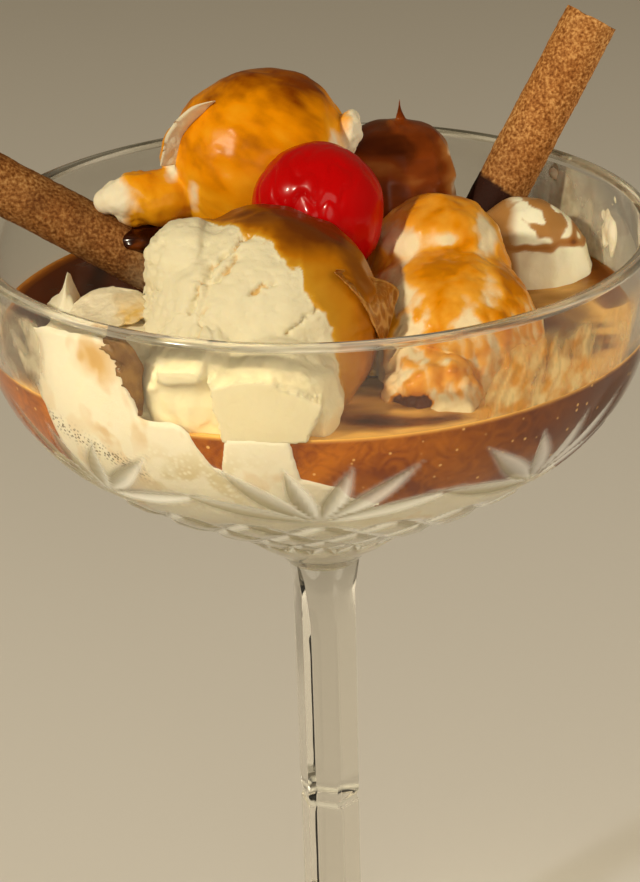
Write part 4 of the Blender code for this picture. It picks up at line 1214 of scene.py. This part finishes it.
# --- Rolled wafers: a thin sweet batter baked flat and rolled hot, so each is a spiral with a seam along it. The
# skin is pitted and speckled. The right one's lower end is dark: a painted shadow, with a little coffee in it. ---
WAFERS = {
    "wafer_right": (Vector(spot(14.3, 20.3, -35.4)), Vector((0.481, 0.187, 0.858)).normalized()),
    "wafer_left": (Vector(spot(-17.2, 8.1, -15.5)), Vector((-0.852, -0.015, 0.523)).normalized()),
}
WAFER_LENGTH = 68 * MM
WAFER_RADIUS = 5.1 * MM
WAFER_SHEET = 0.75 * MM
WAFER_TURNS = 2.0
WAFER_AROUND = 100
WAFER_ALONG = 150


def wafer_material(name):
    """Baked wafer: dry and brown, speckled darker in the pits and lighter on the crumbs. The crumb is really about
    0.2 mm, and is drawn 0.5 to 1 mm to show."""
    made, tree, shader = new_material(name, Roughness=0.75, Specular_IOR_Level=0.2)
    here = add(tree, "TexCoord").outputs["Object"]
    soak = add(tree, "Attribute", {"attribute_name": "soaked"}).outputs["Fac"]
    frost = add(tree, "Attribute", {"attribute_name": "frosted"}).outputs["Fac"]
    grain = add(tree, "TexNoise", {"Scale": 1 / (0.5 * MM), "Detail": 3.0}, Vector=here)
    coarse = add(tree, "TexNoise", {"Scale": 1 / (1.0 * MM), "Detail": 2.0}, Vector=here)
    toast = add(tree, "TexNoise", {"Scale": 1 / (9 * MM), "Detail": 2.0}, Vector=here)
    both = add(tree, "Math", {"operation": "MULTIPLY_ADD", 1: 0.35}, i0=coarse, i2=grain)
    colours = add(tree, "ValToRGB", Fac=both)
    stops = colours.color_ramp.elements
    stops[0].position, stops[0].color = 0.46, linear("#86521F")
    stops[1].position, stops[1].color = 0.9, linear("#EEBC7A")
    stops.new(0.68).color = linear("#BE864A")
    baked = {"data_type": "RGBA", "blend_type": "MULTIPLY", 7: "#D8B88C"}
    warm = add(tree, "Mix", baked, Factor=toast, i6=colours)
    # This value darkens the wafer towards near-black brown: a darker tone, and on the right wafer a painted shadow.
    wet = add(tree, "Mix", {"data_type": "RGBA", 7: "#2C1004"}, Factor=soak, i6=warm.outputs[2])
    icy = add(tree, "Mix", {"data_type": "RGBA", 7: "#B89C74"}, Factor=frost, i6=wet.outputs[2])
    bump = add(tree, "Bump", {"Strength": 0.5, "Distance": 0.25 * MM}, Height=both)
    wire(tree, shader, Base_Color=icy.outputs[2], Normal=bump)
    return made


def make_wafer(node):
    """A sheet rolled into a spiral with its seam turned away, pitted all over and ragged at its ends."""
    foot, axis = WAFERS[node]
    turn = axis.to_track_quat("Z", "Y").to_matrix()
    away = turn.transposed() @ Vector((0, 1, -0.4))
    seam = math.atan2(away.y, away.x) - 0.2
    share = np.linspace(0, 1, WAFER_AROUND + 1)
    along = np.linspace(0, WAFER_LENGTH, WAFER_ALONG + 1)[:, None]
    angle = seam + 2 * math.pi * WAFER_TURNS * share + 0.35 * along / WAFER_LENGTH
    outer = WAFER_RADIUS - 0.12 * MM - WAFER_TURNS * (1 - share) * (WAFER_SHEET + 0.06 * MM) + 0 * along
    radius = np.concatenate([outer, (outer - WAFER_SHEET)[:, ::-1]], 1)
    angle = np.concatenate([angle, angle[:, ::-1]], 1)
    points = np.stack([radius * np.cos(angle), radius * np.sin(angle), along + 0 * radius], 2)
    count = radius.shape[1]
    faces = ring_faces(WAFER_ALONG + 1, count)
    for ring in (0, WAFER_ALONG * count):
        faces += [[ring + k, ring + k + 1, ring + count - 2 - k, ring + count - 1 - k] for k in range(WAFER_AROUND)]
    roll = closed_piece(node + "_roll", points, faces)
    points, normals = read_points(roll)
    end = np.minimum(points[:, 2], WAFER_LENGTH - points[:, 2])
    ragged = 0.5 * MM * lumps(points, 3 * MM, 82, 2) * ramp(-end, -1.5 * MM, 0.0)
    pits = 0.1 * MM * lumps(points, 1.0 * MM, 81, 2) + 0.14 * MM * lumps(points, 6 * MM, 83)
    points += normals * (pits - 0.05 * MM)[:, None]
    points[:, 2] = np.clip(points[:, 2] + ragged, 0.0, WAFER_LENGTH)
    along = points[:, 2].copy()
    points = points @ np.array(turn).T + np.array(foot)
    if node == "wafer_right":
        # Painted shadow: the lower end is dark up to a slanting edge, where the back scoop's shadow falls, with a
        # little coffee soaked in. Above the edge it is painted a little darker, fading out over 16 mm.
        edge = (42.4 - 0.19 * points[:, 0] / MM) * MM + 0.5 * MM * lumps(points, 2 * MM, 84, 3)
        soaked = ramp(edge - along, -0.3 * MM, 0.4 * MM)
        soaked = np.maximum(soaked, 0.26 * ramp(edge - along, -16 * MM, -1 * MM))
        frosted = 0 * along
    else:
        # The left wafer only gets a darker tone all over, with no painted shadow.
        soaked = 0.35 + 0.16 * ramp(lumps(points, 6 * MM, 85), 0.0, 0.5)
        frosted = 0.8 * near(points, (-26.4, 3.6, -10.6), (3.4, 6, 3.0))
        frosted *= ramp(lumps(points, 1.5 * MM, 86, 2), -0.3, 0.2)
    move_points(roll, points, soaked=soaked, frosted=frosted)
    roll.data.set_sharp_from_angle(angle=math.radians(50))
    finish_piece(roll, wafer_material(node + "_baked"), "wafer", node)


for wafer in WAFERS:
    make_wafer(wafer)
